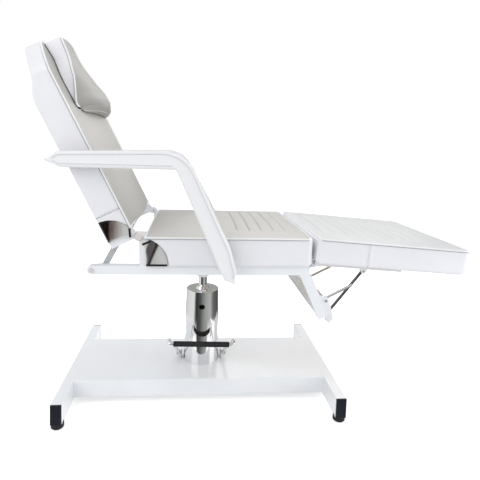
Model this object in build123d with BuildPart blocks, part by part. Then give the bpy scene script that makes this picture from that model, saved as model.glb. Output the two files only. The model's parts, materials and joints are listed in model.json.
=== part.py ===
"""White hydraulic tattoo chair with a steel base plate, reclining back and drop-down leg rest.

Millimetres, +Z up, +X towards the foot end, origin on the floor under the middle of the chair.
Side outlines are given from the column axis (X) and the floor (Z), or from a hinge.
"""
from build123d import *
from math import cos, radians, sin, sqrt
import os

os.makedirs("parts", exist_ok=True)

# Where the column stands, measured from the middle of the chair's length
column_x = -165
running_clearance = 0.05
soft_clearance = 0.3

# Base: two box rails across, a folded sheet between them
base_rail_x = 478
base_rail_width = 36
base_rail_height = 68
base_rail_half_length = 321
base_rail_wall = 2.5
base_cap_flange = 6
base_cap_plug = 14
foot_radius = 21
foot_height = 19
foot_inset = 22.5
foot_dome = 4
pan_half_width = 171.5
pan_depth = 61
pan_sheet = 3
base_top = foot_height + base_rail_height

# Pump and column
cover_bottom_radius = 70.5
cover_top_radius = 63
cover_top_z = 374
cover_wall = 1.5
cover_slot_x = -2.5
cover_slot_z = 317.5
cover_slot_length = 23
cover_slot_height = 19
top_disc_thickness = 2.5
cylinder_radius = 30
cylinder_flange_radius = 58
cylinder_flange_thickness = 8
cylinder_floor = 9
gland_bottom_radius = 28
gland_top_radius = 23
gland_height = 10
rod_radius = 16.5
rod_bottom_z = 136
rod_top_z = 500

# Foot pedal, a bent rod with a rubber sleeve, hinged at both sides of the column
pedal_rod_radius = 6
pedal_grip_radius = 10
pedal_grip_bevel = 2
pedal_reach = 115
pedal_left_x = 126
pedal_left_z = 195.5
pedal_right_x = 120
pedal_right_z = 189.5
pedal_grip_inset = 17
pedal_turn_back = 18
pedal_turn_rise = 10.5
pedal_root = (88, -16, 116)
pedal_end_bend = 8
pedal_top_bend = 9
pedal_root_bend = 14
pedal_pivot_x = 76
pedal_pivot_z = 105
pedal_lug_thickness = 5
pedal_lug_half_width = 14
pedal_hub_radius = 11
pedal_hub_thickness = 13
pedal_gap = 0.6
pedal_pin_radius = 5
pedal_pin_head_radius = 8
pedal_pin_head = 4

# Seat frame: rails, cross tubes and the socket on the rod
rail_top = 542
rail_size = 30
rail_wall = 2
rail_inset = 30
rail_rear_x = -359
rail_front_x = 355
mid_tube_x = 70
boss_x = -374
boss_radius = 14
boss_bolt_radius = 8
boss_bolt_head = 5
socket_plate_length = 200
socket_plate_width = 160
socket_plate_thickness = 6
socket_radius = 23
socket_bottom_z = 423
socket_cap_gap = 6

# Front legs, leaning tubes open at the bottom, tied by a lower cross tube
leg_top = (340, 514)
leg_foot = (411, 362)
leg_width = 36
leg_tube_back = 15

# Seat cushion
seat_front_x = 362
seat_rear_x = -204
seat_half_width = 300
seat_bottom_tuck = 4
seat_seam_tuck = 3
seat_seam_z = 639
seat_crown = 19
seat_corner_radius = 42
seat_board_thickness = 15
seat_board_front_x = 345
seat_board_rear_x = -105
seat_board_inset = 17
channel_width = 5
channel_depth = 3.5
channel_panel_inset = 85
seat_channel_first_x = 108
seat_channel_pitch = 43
seat_channel_count = 6

# Back hinge and its arched ends
hinge_x = -222
hinge_z = 640
arch_radius = 99
arch_depth = 98
hinge_plate_inset = 19
hinge_plate_thickness = 4
hinge_plate_shy = 0.4
hinge_plate_edge = 2
knuckle_radius = 14
knuckle_clearance = 2
tongue_thickness = 4.5
tongue_radius = 13
tongue_at = (26, -34)
hinge_layer_gap = 0.5
back_plate_bottom = 96.5
plate_top_x = 20
horn_thickness = 12
horn_edge = 5
horn_shy = 1.2
horn_bottom = 96
horn_inner_shares = ((0.083, 0.219), (0.255, 0.604), (0.26, 1))
horn_top_x = 40
hinge_pin_radius = 6
hinge_pin_inset = 26
hinge_cap = 8
hinge_cap_round = 3.5

# Backrest, measured up the back and out to its front from the hinge
recline_angle = 62.8
back_start = 18
back_top = 712
back_round = 20
back_seam = -8
back_crown = 20
back_rear = -97
back_shoulder_drop = 112
back_shoulder_inset = 32
back_shoulder_middle = 60
back_shoulder_round = 90
back_top_inset = 78
back_top_round = 40
back_thin_start_drop = 202
back_thin_end_drop = 112
back_thinning = 31
back_thin_round = 90
back_board_start = 105
back_board_drop = 207
back_board_thickness = 12
back_board_inset = 20
back_tube_at = (62, -42)
back_tube_radius = 12.5
rib_y = 120
rib_thickness = 5
rib_wrap = 12
rib_start = 92
rib_end = 300
rib_lip = 6
rib_slope = 20
rib_depth = 15
rib_shoulder = 18

# Back stays
stay_pivot = (12, -74)
stay_foot = (-341, 527)
stay_inset = 9
stay_thickness = 5
stay_width = 20
stay_pin_radius = 5
stay_pin_head_radius = 8
stay_pin_head = 4
stay_pin_gap = 1
stay_roller_radius = 8
stay_roller_gap = 0.4

# Headrest pillow
pillow_inset = 72
pillow_start_drop = 262
pillow_top_drop = 8
pillow_crown = 70
pillow_side = 46
pillow_front_shares = ((0, 0.6), (0.12, 0.97), (0.3, 0.93), (0.66, 0.77), (1, 0.77))
pillow_heel_radius = 22
pillow_brow_radius = 40
pillow_corner_radius = 45
pillow_trim = 10

# Leg rest, measured along it and up from its hinge
leg_hinge_x = 369
leg_hinge_z = 533
leg_rest_angle = 4.1
leg_start = 1
leg_end = 553
leg_bottom = 21
leg_seam = 108
leg_crown = 15
leg_corner_radius = 60
leg_heel_radius = 26
leg_board_thickness = 12
leg_board_start = 24
leg_board_end = 536
leg_board_inset = 20
leg_channel_first = 45
leg_channel_pitch = 43
leg_channel_count = 9
leg_panel_inset = 75
frame_tube_width = 20
frame_tube_height = 15
frame_tube_wall = 2
frame_tube_inset = 55
frame_start = 10
frame_end = 327

# Leg hinge
leg_lug_gap = 0.3
leg_lug_thickness = 6
leg_plate_thickness = 6
leg_knuckle_radius = 9
leg_pin_radius = 4.5
leg_pin_head_radius = 7
leg_pin_head = 4
leg_plate_end = 62

# Leg struts through the clamp rings
strut_radius = 5
strut_lug_gap = 1
strut_upper = (565, 512)
strut_ring = (437, 349)
strut_past_ring = 9
strut_lug_thickness = 5
strut_lug_half = 16
strut_hub_radius = 9
strut_hub_thickness = 9
strut_hub_gap = 0.5
strut_pin_radius = 4
strut_ring_radius = 13
strut_ring_bore = 8
strut_ring_thickness = 8
strut_ring_lean = 40
strut_bevel = 1.25
clamp_thickness = 6
clamp_boss_radius = 6
clamp_shares = (
    (-2, -0.5), (-1.58, -1.14), (-1.03, -1.28), (0.83, -0.89), (1.03, -0.3), (0.56, -0.11), (0, -0.5),
)

# Release rod
release_shaft = (423, 415)
release_tip = (523, 466)
release_tip_bevel = 1.5
release_radius = 4.5
release_arm_inset = 14
release_middle_arm_y = -4
release_past_clamp = 5

# Armrests
arm_gap = 9
arm_width = 49
arm_round = 9
arm_rear_x = -500
arm_foot_z = 503
arm_length = 596
arm_height = 425
arm_pad_shares = (
    (0, 0.901), (0.064, 0.972), (0.711, 1), (0.966, 0.271), (1, 0.099),
    (0.99, 0), (0.935, 0.026), (0.666, 0.854), (0.076, 0.854),
)
arm_nose_radius = 9
arm_rest_radius = 30
arm_elbow_radius = 119
arm_shin_radius = 150
arm_heel_radius = 40
arm_toe_radius = 10
arm_toe_inner_radius = 8
arm_elbow_inner_radius = 12
arm_plate_thickness = 4
arm_plate_shares = ((0.936, 0.021), (1, 0.021), (0.98, 0.228), (0.856, 0.558), (0.815, 0.53), (0.92, 0.205))
arm_block_start_x = 60
arm_block_end_x = 95
arm_block_height = 29
arm_bolt_at = (77.5, 526)
far_arm_tilt = 3

# Widths that follow the seat, and places that follow the top of the back
rail_y = seat_half_width - rail_inset
rail_inner_y = rail_y - rail_size / 2
rail_outer_y = rail_y + rail_size / 2
seat_board_half_width = seat_half_width - seat_board_inset
channel_panel_half_width = seat_half_width - channel_panel_inset
leg_panel_half_width = seat_half_width - leg_panel_inset
leg_board_half_width = seat_half_width - leg_board_inset
back_half_width = seat_half_width
back_shoulder_half = back_half_width - back_shoulder_inset
back_top_half = back_half_width - back_top_inset
back_board_half_width = back_half_width - back_board_inset
pillow_half_width = back_half_width - pillow_inset
hinge_plate_inner_y = seat_half_width - hinge_plate_inset
hinge_pin_inner_y = seat_half_width - hinge_pin_inset
stay_inner_y = rail_inner_y - stay_inset
frame_tube_y = seat_half_width - frame_tube_inset
tube_inner_y = frame_tube_y - frame_tube_width / 2
leg_plate_inner_y = tube_inner_y - leg_plate_thickness
leg_lug_inner_y = leg_plate_inner_y - leg_lug_gap - leg_lug_thickness
leg_pin_inner_y = leg_lug_inner_y - leg_pin_head
strut_y = tube_inner_y - strut_lug_thickness - strut_lug_gap - strut_hub_thickness / 2
clamp_inner_y = rail_inner_y + rail_wall
release_arm_ys = (release_arm_inset - clamp_inner_y, release_middle_arm_y)
release_shaft_half = clamp_inner_y + clamp_thickness + release_past_clamp
arm_inner_y = seat_half_width + arm_gap
back_shoulder_start = back_top - back_shoulder_drop
back_shoulder_at = back_top - back_shoulder_middle
back_thin_start = back_top - back_thin_start_drop
back_thin_end = back_top - back_thin_end_drop
back_thin_rear = back_rear + back_thinning
back_board_end = back_top - back_board_drop
pillow_start = back_top - pillow_start_drop
pillow_end = back_top - pillow_top_drop

# Frames that follow the side view, the reclined back and the lowered leg rest
side = Plane(origin=(column_x, 0, 0), x_dir=(1, 0, 0), z_dir=(0, -1, 0))
up_back = Vector(-cos(radians(recline_angle)), 0, sin(radians(recline_angle)))
out_of_back = Vector(sin(radians(recline_angle)), 0, cos(radians(recline_angle)))
hinge_point = Vector(column_x + hinge_x, 0, hinge_z)
back_side = Plane(origin=hinge_point, x_dir=up_back, z_dir=(0, 1, 0))
back_plan = Plane(origin=hinge_point, x_dir=up_back, z_dir=out_of_back)
back_section = Plane(origin=hinge_point, x_dir=(0, -1, 0), z_dir=up_back)
along_leg = Vector(cos(radians(leg_rest_angle)), 0, -sin(radians(leg_rest_angle)))
above_leg = Vector(sin(radians(leg_rest_angle)), 0, cos(radians(leg_rest_angle)))
leg_hinge_point = Vector(column_x + leg_hinge_x, 0, leg_hinge_z)
leg_side = Plane(origin=leg_hinge_point, x_dir=along_leg, z_dir=(0, -1, 0))
leg_plan = Plane(origin=leg_hinge_point, x_dir=along_leg, z_dir=above_leg)
leg_section = Plane(origin=leg_hinge_point, x_dir=(0, 1, 0), z_dir=along_leg)


def on_arch(radius, across):
    """Height over the arch centre of the point that lies `across` from it."""
    return sqrt(radius**2 - across**2)


# Base

rail_tube_half_length = base_rail_half_length - base_cap_flange
for rail_name, rail_side in (("base_rail_head", -1), ("base_rail_foot", 1)):
    with BuildPart() as base_rail:
        with BuildSketch(Plane.XZ.offset(-rail_tube_half_length)):
            with Locations((column_x + rail_side * base_rail_x, foot_height + base_rail_height / 2)):
                Rectangle(base_rail_width, base_rail_height)
                Rectangle(
                    base_rail_width - 2 * base_rail_wall,
                    base_rail_height - 2 * base_rail_wall,
                    mode=Mode.SUBTRACT,
                )
        extrude(amount=2 * rail_tube_half_length)
    base_rail.part.label = rail_name
    export_step(base_rail.part, "parts/" + rail_name + ".step")

with BuildPart() as base_end_caps:
    cap_places = [
        (column_x + s * base_rail_x, foot_height + base_rail_height / 2) for s in (-1, 1)
    ]
    with BuildSketch(Plane.XZ.offset(rail_tube_half_length)):
        with Locations(*cap_places):
            Rectangle(base_rail_width, base_rail_height)
    extrude(amount=base_cap_flange)
    with BuildSketch(Plane.XZ.offset(rail_tube_half_length)):
        with Locations(*cap_places):
            Rectangle(
                base_rail_width - 2 * base_rail_wall,
                base_rail_height - 2 * base_rail_wall,
            )
    extrude(amount=-base_cap_plug)
    chamfer(base_end_caps.faces().sort_by(Axis.Y)[:2].edges(), base_rail_wall / 2)
    mirror(about=Plane.XZ)
base_end_caps.part.label = "base_end_caps"
export_step(base_end_caps.part, "parts/base_end_caps.step")

with BuildPart() as base_feet:
    foot_places = [
        (column_x + s * base_rail_x, t * (base_rail_half_length - foot_inset), 0)
        for s in (-1, 1)
        for t in (-1, 1)
    ]
    with Locations(*foot_places):
        Cylinder(foot_radius, foot_height, align=(Align.CENTER, Align.CENTER, Align.MIN))
    chamfer(base_feet.faces().sort_by(Axis.Z)[:4].edges(), foot_dome)
base_feet.part.label = "base_feet"
export_step(base_feet.part, "parts/base_feet.step")

pan_half_length = base_rail_x - base_rail_width / 2
with BuildPart() as base_pan:
    with BuildSketch(Plane.YZ.offset(column_x - pan_half_length)):
        with Locations((0, base_top - pan_depth / 2)):
            Rectangle(2 * pan_half_width, pan_depth)
        with Locations((0, base_top - pan_depth / 2 - pan_sheet / 2)):
            Rectangle(2 * pan_half_width - 2 * pan_sheet, pan_depth - pan_sheet, mode=Mode.SUBTRACT)
    extrude(amount=2 * pan_half_length)
    long_top_edges = base_pan.edges().filter_by(Axis.X).group_by(Axis.Z)[-1]
    fillet(long_top_edges, pan_sheet)
base_pan.part.label = "base_pan"
export_step(base_pan.part, "parts/base_pan.step")

# Pump cylinder, its cover, disc and gland

column_axis = Axis((column_x, 0, 0), (0, 0, 1))
with BuildPart() as pump_cylinder:
    with BuildSketch(side):
        with BuildLine():
            Polyline(
                (0, base_top),
                (cylinder_flange_radius, base_top),
                (cylinder_flange_radius, base_top + cylinder_flange_thickness),
                (cylinder_radius, base_top + cylinder_flange_thickness),
                (cylinder_radius, cover_top_z),
                (rod_radius + running_clearance, cover_top_z),
                (rod_radius + running_clearance, base_top + cylinder_floor),
                (0, base_top + cylinder_floor),
                close=True,
            )
        make_face()
    revolve(axis=column_axis)
pump_cylinder.part.label = "pump_cylinder"
export_step(pump_cylinder.part, "parts/pump_cylinder.step")

cover_shell_top = cover_top_z - top_disc_thickness
with BuildPart() as column_cover:
    with BuildSketch(side):
        with BuildLine():
            Polyline(
                (cover_bottom_radius - cover_wall, base_top),
                (cover_bottom_radius, base_top),
                (cover_top_radius, cover_shell_top),
                (cover_top_radius - cover_wall, cover_shell_top),
                close=True,
            )
        make_face()
    revolve(axis=column_axis)
    with BuildSketch(side):
        with Locations((cover_slot_x, cover_slot_z)):
            SlotOverall(cover_slot_length, cover_slot_height)
    extrude(amount=cover_bottom_radius, mode=Mode.SUBTRACT)
column_cover.part.label = "column_cover"
export_step(column_cover.part, "parts/column_cover.step")

with BuildPart() as column_top_disc:
    with BuildSketch(Plane.XY.offset(cover_shell_top)):
        with Locations((column_x, 0)):
            Circle(cover_top_radius)
            Circle(cylinder_radius, mode=Mode.SUBTRACT)
    extrude(amount=top_disc_thickness)
    chamfer(column_top_disc.edges().group_by(Axis.Z)[-1].sort_by(SortBy.LENGTH)[-1], cover_wall / 2)
column_top_disc.part.label = "column_top_disc"
export_step(column_top_disc.part, "parts/column_top_disc.step")

gland_bore = rod_radius + running_clearance
with BuildPart() as gland_nut:
    with BuildSketch(side):
        with BuildLine():
            Polyline(
                (gland_bore, cover_top_z),
                (gland_bottom_radius, cover_top_z),
                (gland_top_radius, cover_top_z + gland_height),
                (gland_bore, cover_top_z + gland_height),
                close=True,
            )
        make_face()
    revolve(axis=column_axis)
gland_nut.part.label = "gland_nut"
export_step(gland_nut.part, "parts/gland_nut.step")

with BuildPart() as piston_rod:
    with BuildSketch(Plane.XY.offset(rod_bottom_z)):
        with Locations((column_x, 0)):
            Circle(rod_radius)
    extrude(amount=rod_top_z - rod_bottom_z)
    chamfer(piston_rod.edges().group_by(Axis.Z)[0], cover_wall)
piston_rod.part.label = "piston_rod"
export_step(piston_rod.part, "parts/piston_rod.step")

# Pedal

pedal_lug_top = pedal_pivot_z + pedal_lug_half_width
with BuildPart() as pedal_lugs:
    with BuildSketch(Plane.YZ.offset(column_x + pedal_pivot_x)):
        with Locations((0, (base_top + pedal_pivot_z) / 2)):
            Rectangle(2 * pedal_lug_half_width, pedal_pivot_z - base_top)
        with Locations((0, pedal_pivot_z)):
            Circle(pedal_lug_half_width)
            Circle(pedal_pin_radius, mode=Mode.SUBTRACT)
    extrude(amount=pedal_lug_thickness)
    mirror(about=Plane.YZ.offset(column_x))
pedal_lugs.part.label = "pedal_lugs"
export_step(pedal_lugs.part, "parts/pedal_lugs.step")

pedal_hub_x = pedal_pivot_x + pedal_lug_thickness + pedal_gap
with BuildPart() as pedal_pins:
    with BuildSketch(Plane.YZ.offset(column_x + pedal_pivot_x)):
        with Locations((0, pedal_pivot_z)):
            Circle(pedal_pin_radius)
    extrude(amount=pedal_lug_thickness + pedal_hub_thickness + 2 * pedal_gap)
    with BuildSketch(Plane.YZ.offset(column_x + pedal_hub_x + pedal_hub_thickness + pedal_gap)):
        with Locations((0, pedal_pivot_z)):
            Circle(pedal_pin_head_radius)
    extrude(amount=pedal_pin_head)
    mirror(about=Plane.YZ.offset(column_x))
pedal_pins.part.label = "pedal_pins"
export_step(pedal_pins.part, "parts/pedal_pins.step")

hub_middle = pedal_hub_x + pedal_hub_thickness / 2
root_x, root_y, root_z = pedal_root
pedal_left = [
    Vector(column_x - pedal_left_x, -pedal_reach, pedal_left_z),
    Vector(column_x - pedal_left_x, pedal_turn_back - pedal_reach, pedal_left_z + pedal_turn_rise),
    Vector(column_x - root_x, root_y, root_z),
]
pedal_right = [
    Vector(column_x + pedal_right_x, -pedal_reach, pedal_right_z),
    Vector(column_x + pedal_right_x, pedal_turn_back - pedal_reach, pedal_right_z + pedal_turn_rise),
    Vector(column_x + root_x, root_y, root_z),
]
grip_direction = (pedal_right[0] - pedal_left[0]).normalized()
grip_left = pedal_left[0] + grip_direction * pedal_grip_inset
grip_right = pedal_right[0] - grip_direction * pedal_grip_inset
pedal_start = Vector(column_x - hub_middle, 0, pedal_pivot_z)
pedal_finish = Vector(column_x + hub_middle, 0, pedal_pivot_z)
pedal_path_points = [pedal_start, *reversed(pedal_left), *pedal_right, pedal_finish]
pedal_path_radii = [
    pedal_root_bend, pedal_top_bend, pedal_end_bend, pedal_end_bend, pedal_top_bend, pedal_root_bend,
]
with BuildPart() as pedal_rod:
    with BuildLine() as pedal_path:
        FilletPolyline(*pedal_path_points, radius=pedal_path_radii)
    with BuildSketch(Plane(origin=pedal_path.line @ 0, z_dir=pedal_path.line % 0)):
        Circle(pedal_rod_radius)
    sweep()
    with BuildSketch(Plane.YZ.offset(column_x + pedal_hub_x)):
        with Locations((0, pedal_pivot_z)):
            Circle(pedal_hub_radius)
    extrude(amount=pedal_hub_thickness)
    with BuildSketch(Plane.YZ.offset(column_x - pedal_hub_x - pedal_hub_thickness)):
        with Locations((0, pedal_pivot_z)):
            Circle(pedal_hub_radius)
    extrude(amount=pedal_hub_thickness)
    with BuildSketch(Plane.YZ.offset(column_x - pedal_hub_x - 2 * pedal_hub_thickness)):
        with Locations((0, pedal_pivot_z)):
            Circle(pedal_pin_radius + running_clearance)
    extrude(amount=2 * pedal_hub_x + 4 * pedal_hub_thickness, mode=Mode.SUBTRACT)
pedal_rod.part.label = "pedal_rod"
export_step(pedal_rod.part, "parts/pedal_rod.step")

with BuildPart() as pedal_grip:
    with BuildLine() as grip_line:
        Line(grip_left, grip_right)
    with BuildSketch(Plane(origin=grip_left, z_dir=grip_line.line % 0)):
        Circle(pedal_grip_radius)
    sweep()
    chamfer(pedal_grip.edges().filter_by(GeomType.CIRCLE), pedal_grip_bevel)
    add(pedal_rod.part, mode=Mode.SUBTRACT)
pedal_grip.part.label = "pedal_grip"
export_step(pedal_grip.part, "parts/pedal_grip.step")

# Seat frame

rail_middle_z = rail_top - rail_size / 2
for rail_name, rail_sign in (("seat_rail_near", -1), ("seat_rail_far", 1)):
    with BuildPart() as seat_rail:
        with BuildSketch(Plane.YZ.offset(column_x + rail_rear_x)):
            with Locations((rail_sign * rail_y, rail_middle_z)):
                Rectangle(rail_size, rail_size)
                Rectangle(rail_size - 2 * rail_wall, rail_size - 2 * rail_wall, mode=Mode.SUBTRACT)
        extrude(amount=rail_front_x - rail_rear_x)
        with BuildSketch(Plane.YZ.offset(column_x + rail_front_x - rail_wall)):
            with Locations((rail_sign * rail_y, rail_middle_z)):
                Rectangle(rail_size, rail_size)
        extrude(amount=rail_wall)
    seat_rail.part.label = rail_name
    export_step(seat_rail.part, "parts/" + rail_name + ".step")

with BuildPart() as rail_end_bosses:
    with BuildSketch(side.offset(rail_inner_y)):
        with Locations((boss_x, rail_middle_z)):
            Circle(boss_radius)
        with Locations(((boss_x + rail_rear_x) / 2, rail_middle_z)):
            Rectangle(rail_rear_x - boss_x, 2 * boss_radius)
    extrude(amount=rail_size)
    mirror(about=Plane.XZ)
rail_end_bosses.part.label = "rail_end_bosses"
export_step(rail_end_bosses.part, "parts/rail_end_bosses.step")

with BuildPart() as rail_end_bolts:
    with BuildSketch(side.offset(rail_outer_y)):
        with Locations((boss_x, rail_middle_z)):
            RegularPolygon(boss_bolt_radius, 6)
    extrude(amount=boss_bolt_head)
    mirror(about=Plane.XZ)
rail_end_bolts.part.label = "rail_end_bolts"
export_step(rail_end_bolts.part, "parts/rail_end_bolts.step")

with BuildPart() as seat_cross_tubes:
    with BuildSketch(Plane.XZ.offset(-rail_inner_y)):
        with Locations((column_x - mid_tube_x, rail_middle_z), (column_x + mid_tube_x, rail_middle_z)):
            Rectangle(rail_size, rail_size)
            Rectangle(rail_size - 2 * rail_wall, rail_size - 2 * rail_wall, mode=Mode.SUBTRACT)
    extrude(amount=2 * rail_inner_y)
seat_cross_tubes.part.label = "seat_cross_tubes"
export_step(seat_cross_tubes.part, "parts/seat_cross_tubes.step")

with BuildPart() as front_cross_tube:
    with BuildSketch(Plane.XZ.offset(-rail_inner_y)):
        with Locations((column_x + rail_front_x - rail_size / 2, rail_middle_z)):
            Rectangle(rail_size, rail_size)
            Rectangle(rail_size - 2 * rail_wall, rail_size - 2 * rail_wall, mode=Mode.SUBTRACT)
    extrude(amount=2 * rail_inner_y)
front_cross_tube.part.label = "front_cross_tube"
export_step(front_cross_tube.part, "parts/front_cross_tube.step")

socket_plate_z = rail_top - rail_size - socket_plate_thickness
with BuildPart() as seat_socket:
    with BuildSketch(Plane.XY.offset(socket_plate_z)):
        with Locations((column_x, 0)):
            Rectangle(socket_plate_length, socket_plate_width)
    extrude(amount=socket_plate_thickness)
    with BuildSketch(Plane.XY.offset(socket_bottom_z)):
        with Locations((column_x, 0)):
            Circle(socket_radius)
    extrude(amount=socket_plate_z - socket_bottom_z)
    with BuildSketch(Plane.XY.offset(socket_bottom_z)):
        with Locations((column_x, 0)):
            Circle(rod_radius + running_clearance)
    extrude(amount=rod_top_z - socket_bottom_z + socket_cap_gap, mode=Mode.SUBTRACT)
seat_socket.part.label = "seat_socket"
export_step(seat_socket.part, "parts/seat_socket.step")

# Front legs, their cross tube, the strut clamps and the release lugs

leg_dx = leg_foot[0] - leg_top[0]
leg_dz = leg_foot[1] - leg_top[1]
leg_length = sqrt(leg_dx**2 + leg_dz**2)
leg_down = Vector(leg_dx / leg_length, 0, leg_dz / leg_length)
leg_foot_point = Vector(column_x + leg_foot[0], 0, leg_foot[1])
front_leg_side = Plane(origin=leg_foot_point, x_dir=leg_down, z_dir=(0, 1, 0))
for leg_name, leg_sign in (("front_leg_near", -1), ("front_leg_far", 1)):
    with BuildPart() as front_leg:
        with BuildSketch(front_leg_side.offset(leg_sign * rail_y - rail_size / 2)):
            with Locations((-leg_length / 2, 0)):
                Rectangle(leg_length + leg_width, leg_width)
            with Locations((leg_width / 2, 0)):
                Rectangle(leg_width, leg_width, mode=Mode.SUBTRACT)
        extrude(amount=rail_size)
        with BuildSketch(front_leg_side.offset(leg_sign * rail_y - rail_size / 2 + rail_wall)):
            with Locations((-leg_length / 2, 0)):
                Rectangle(leg_length + leg_width, leg_width - 2 * rail_wall)
        extrude(amount=rail_size - 2 * rail_wall, mode=Mode.SUBTRACT)
        split(bisect_by=Plane.XY.offset(rail_top - rail_size), keep=Keep.BOTTOM)
    front_leg.part.label = leg_name
    export_step(front_leg.part, "parts/" + leg_name + ".step")

with BuildPart() as leg_cross_tube:
    with BuildSketch(front_leg_side.offset(-rail_inner_y)):
        with Locations((-leg_tube_back, 0)):
            Rectangle(rail_size, rail_size)
            Rectangle(rail_size - 2 * rail_wall, rail_size - 2 * rail_wall, mode=Mode.SUBTRACT)
    extrude(amount=2 * rail_inner_y)
leg_cross_tube.part.label = "leg_cross_tube"
export_step(leg_cross_tube.part, "parts/leg_cross_tube.step")

with BuildPart() as strut_clamps:
    with BuildSketch(front_leg_side.offset(-clamp_inner_y - clamp_thickness)):
        with BuildLine():
            Polyline(*[(u * leg_width, v * leg_width) for u, v in clamp_shares], close=True)
        make_face()
    extrude(amount=clamp_thickness)
    with BuildSketch(side.offset(clamp_inner_y)):
        with Locations(release_shaft):
            Circle(release_radius + running_clearance)
    extrude(amount=clamp_thickness, mode=Mode.SUBTRACT)
    with BuildSketch(side.offset(strut_y)):
        with Locations(strut_ring):
            Circle(clamp_boss_radius)
    extrude(amount=clamp_inner_y - strut_y)
    ring_axis = Vector(cos(radians(strut_ring_lean)), 0, sin(radians(strut_ring_lean)))
    ring_centre = Vector(column_x + strut_ring[0], -strut_y, strut_ring[1])
    ring_start = ring_centre - ring_axis * (strut_ring_thickness / 2)
    with BuildSketch(Plane(origin=ring_start, x_dir=(0, 1, 0), z_dir=ring_axis)):
        Circle(strut_ring_radius)
    extrude(amount=strut_ring_thickness)
    bore_start = ring_centre - ring_axis * strut_ring_radius
    with BuildSketch(Plane(origin=bore_start, x_dir=(0, 1, 0), z_dir=ring_axis)):
        Circle(strut_ring_bore)
    extrude(amount=2 * strut_ring_radius, mode=Mode.SUBTRACT)
    mirror(about=Plane.XZ)
strut_clamps.part.label = "strut_clamps"
export_step(strut_clamps.part, "parts/strut_clamps.step")

# Leg hinge lugs and pins on the front cross tube

with BuildPart() as leg_hinge_lugs:
    with BuildSketch(side.offset(leg_lug_inner_y)):
        with Locations((leg_hinge_x, leg_hinge_z)):
            Circle(leg_knuckle_radius)
        with Locations(((leg_hinge_x + rail_front_x) / 2, leg_hinge_z)):
            Rectangle(leg_hinge_x - rail_front_x, 2 * leg_knuckle_radius)
        with Locations((leg_hinge_x, leg_hinge_z)):
            Circle(leg_pin_radius, mode=Mode.SUBTRACT)
    extrude(amount=leg_lug_thickness)
    mirror(about=Plane.XZ)
leg_hinge_lugs.part.label = "leg_hinge_lugs"
export_step(leg_hinge_lugs.part, "parts/leg_hinge_lugs.step")

with BuildPart() as leg_hinge_pins:
    with BuildSketch(side.offset(leg_lug_inner_y)):
        with Locations((leg_hinge_x, leg_hinge_z)):
            Circle(leg_pin_radius)
    extrude(amount=tube_inner_y - leg_lug_inner_y)
    with BuildSketch(side.offset(leg_pin_inner_y)):
        with Locations((leg_hinge_x, leg_hinge_z)):
            Circle(leg_pin_head_radius)
    extrude(amount=leg_lug_inner_y - leg_pin_inner_y)
    mirror(about=Plane.XZ)
leg_hinge_pins.part.label = "leg_hinge_pins"
export_step(leg_hinge_pins.part, "parts/leg_hinge_pins.step")

# Seat hinge plates, horn covers and hinge pins

plate_radius = arch_radius - hinge_plate_shy
plate_end_x = on_arch(plate_radius, 0)
plate_top_z = on_arch(plate_radius, plate_top_x) - arch_depth
hinge_side = Plane(origin=hinge_point, x_dir=(1, 0, 0), z_dir=(0, -1, 0))
with BuildPart() as seat_hinge_plates:
    with BuildSketch(hinge_side.offset(hinge_plate_inner_y)):
        with BuildLine():
            Line((0, 0), (hinge_plate_edge, -arch_depth))
            Line((hinge_plate_edge, -arch_depth), (plate_end_x, -arch_depth))
            RadiusArc((plate_end_x, -arch_depth), (plate_top_x, plate_top_z), -plate_radius)
            Line((plate_top_x, plate_top_z), (0, 0))
        make_face()
        Circle(knuckle_radius)
        Circle(hinge_pin_radius, mode=Mode.SUBTRACT)
    extrude(amount=hinge_plate_thickness)
    mirror(about=Plane.XZ)
seat_hinge_plates.part.label = "seat_hinge_plates"
export_step(seat_hinge_plates.part, "parts/seat_hinge_plates.step")

horn_y = hinge_plate_inner_y + hinge_plate_thickness
horn_radius = arch_radius - horn_shy
horn_end_x = on_arch(horn_radius, arch_depth - horn_bottom)
horn_top_z = on_arch(horn_radius, horn_top_x) - arch_depth
horn_inner_points = [(u * horn_bottom, -v * horn_bottom) for u, v in horn_inner_shares]
with BuildPart() as seat_horn_covers:
    with BuildSketch(hinge_side.offset(horn_y)):
        with BuildLine():
            Line(horn_inner_points[2], (horn_end_x, -horn_bottom))
            RadiusArc((horn_end_x, -horn_bottom), (horn_top_x, horn_top_z), -horn_radius)
            Line((horn_top_x, horn_top_z), horn_inner_points[0])
            ThreePointArc(*horn_inner_points)
        make_face()
    extrude(amount=horn_thickness)
    chamfer(seat_horn_covers.faces().sort_by(Axis.Y)[0].edges(), horn_edge)
    mirror(about=Plane.XZ)
seat_horn_covers.part.label = "seat_horn_covers"
export_step(seat_horn_covers.part, "parts/seat_horn_covers.step")

with BuildPart() as hinge_pins:
    with BuildSketch(hinge_side.offset(hinge_pin_inner_y)):
        Circle(hinge_pin_radius)
    extrude(amount=horn_y - hinge_pin_inner_y)
    with BuildSketch(hinge_side.offset(horn_y)):
        Circle(knuckle_radius)
    extrude(amount=hinge_cap)
    chamfer(hinge_pins.faces().sort_by(Axis.Y)[0].edges(), hinge_cap_round)
    mirror(about=Plane.XZ)
hinge_pins.part.label = "hinge_pins"
export_step(hinge_pins.part, "parts/hinge_pins.step")

# Seat board and cushion

with BuildPart() as seat_board:
    with BuildSketch(Plane.XY.offset(rail_top)):
        with Locations((column_x + (seat_board_front_x + seat_board_rear_x) / 2, 0)):
            Rectangle(seat_board_front_x - seat_board_rear_x, 2 * seat_board_half_width)
    extrude(amount=seat_board_thickness)
seat_board.part.label = "seat_board"
export_step(seat_board.part, "parts/seat_board.step")

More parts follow.
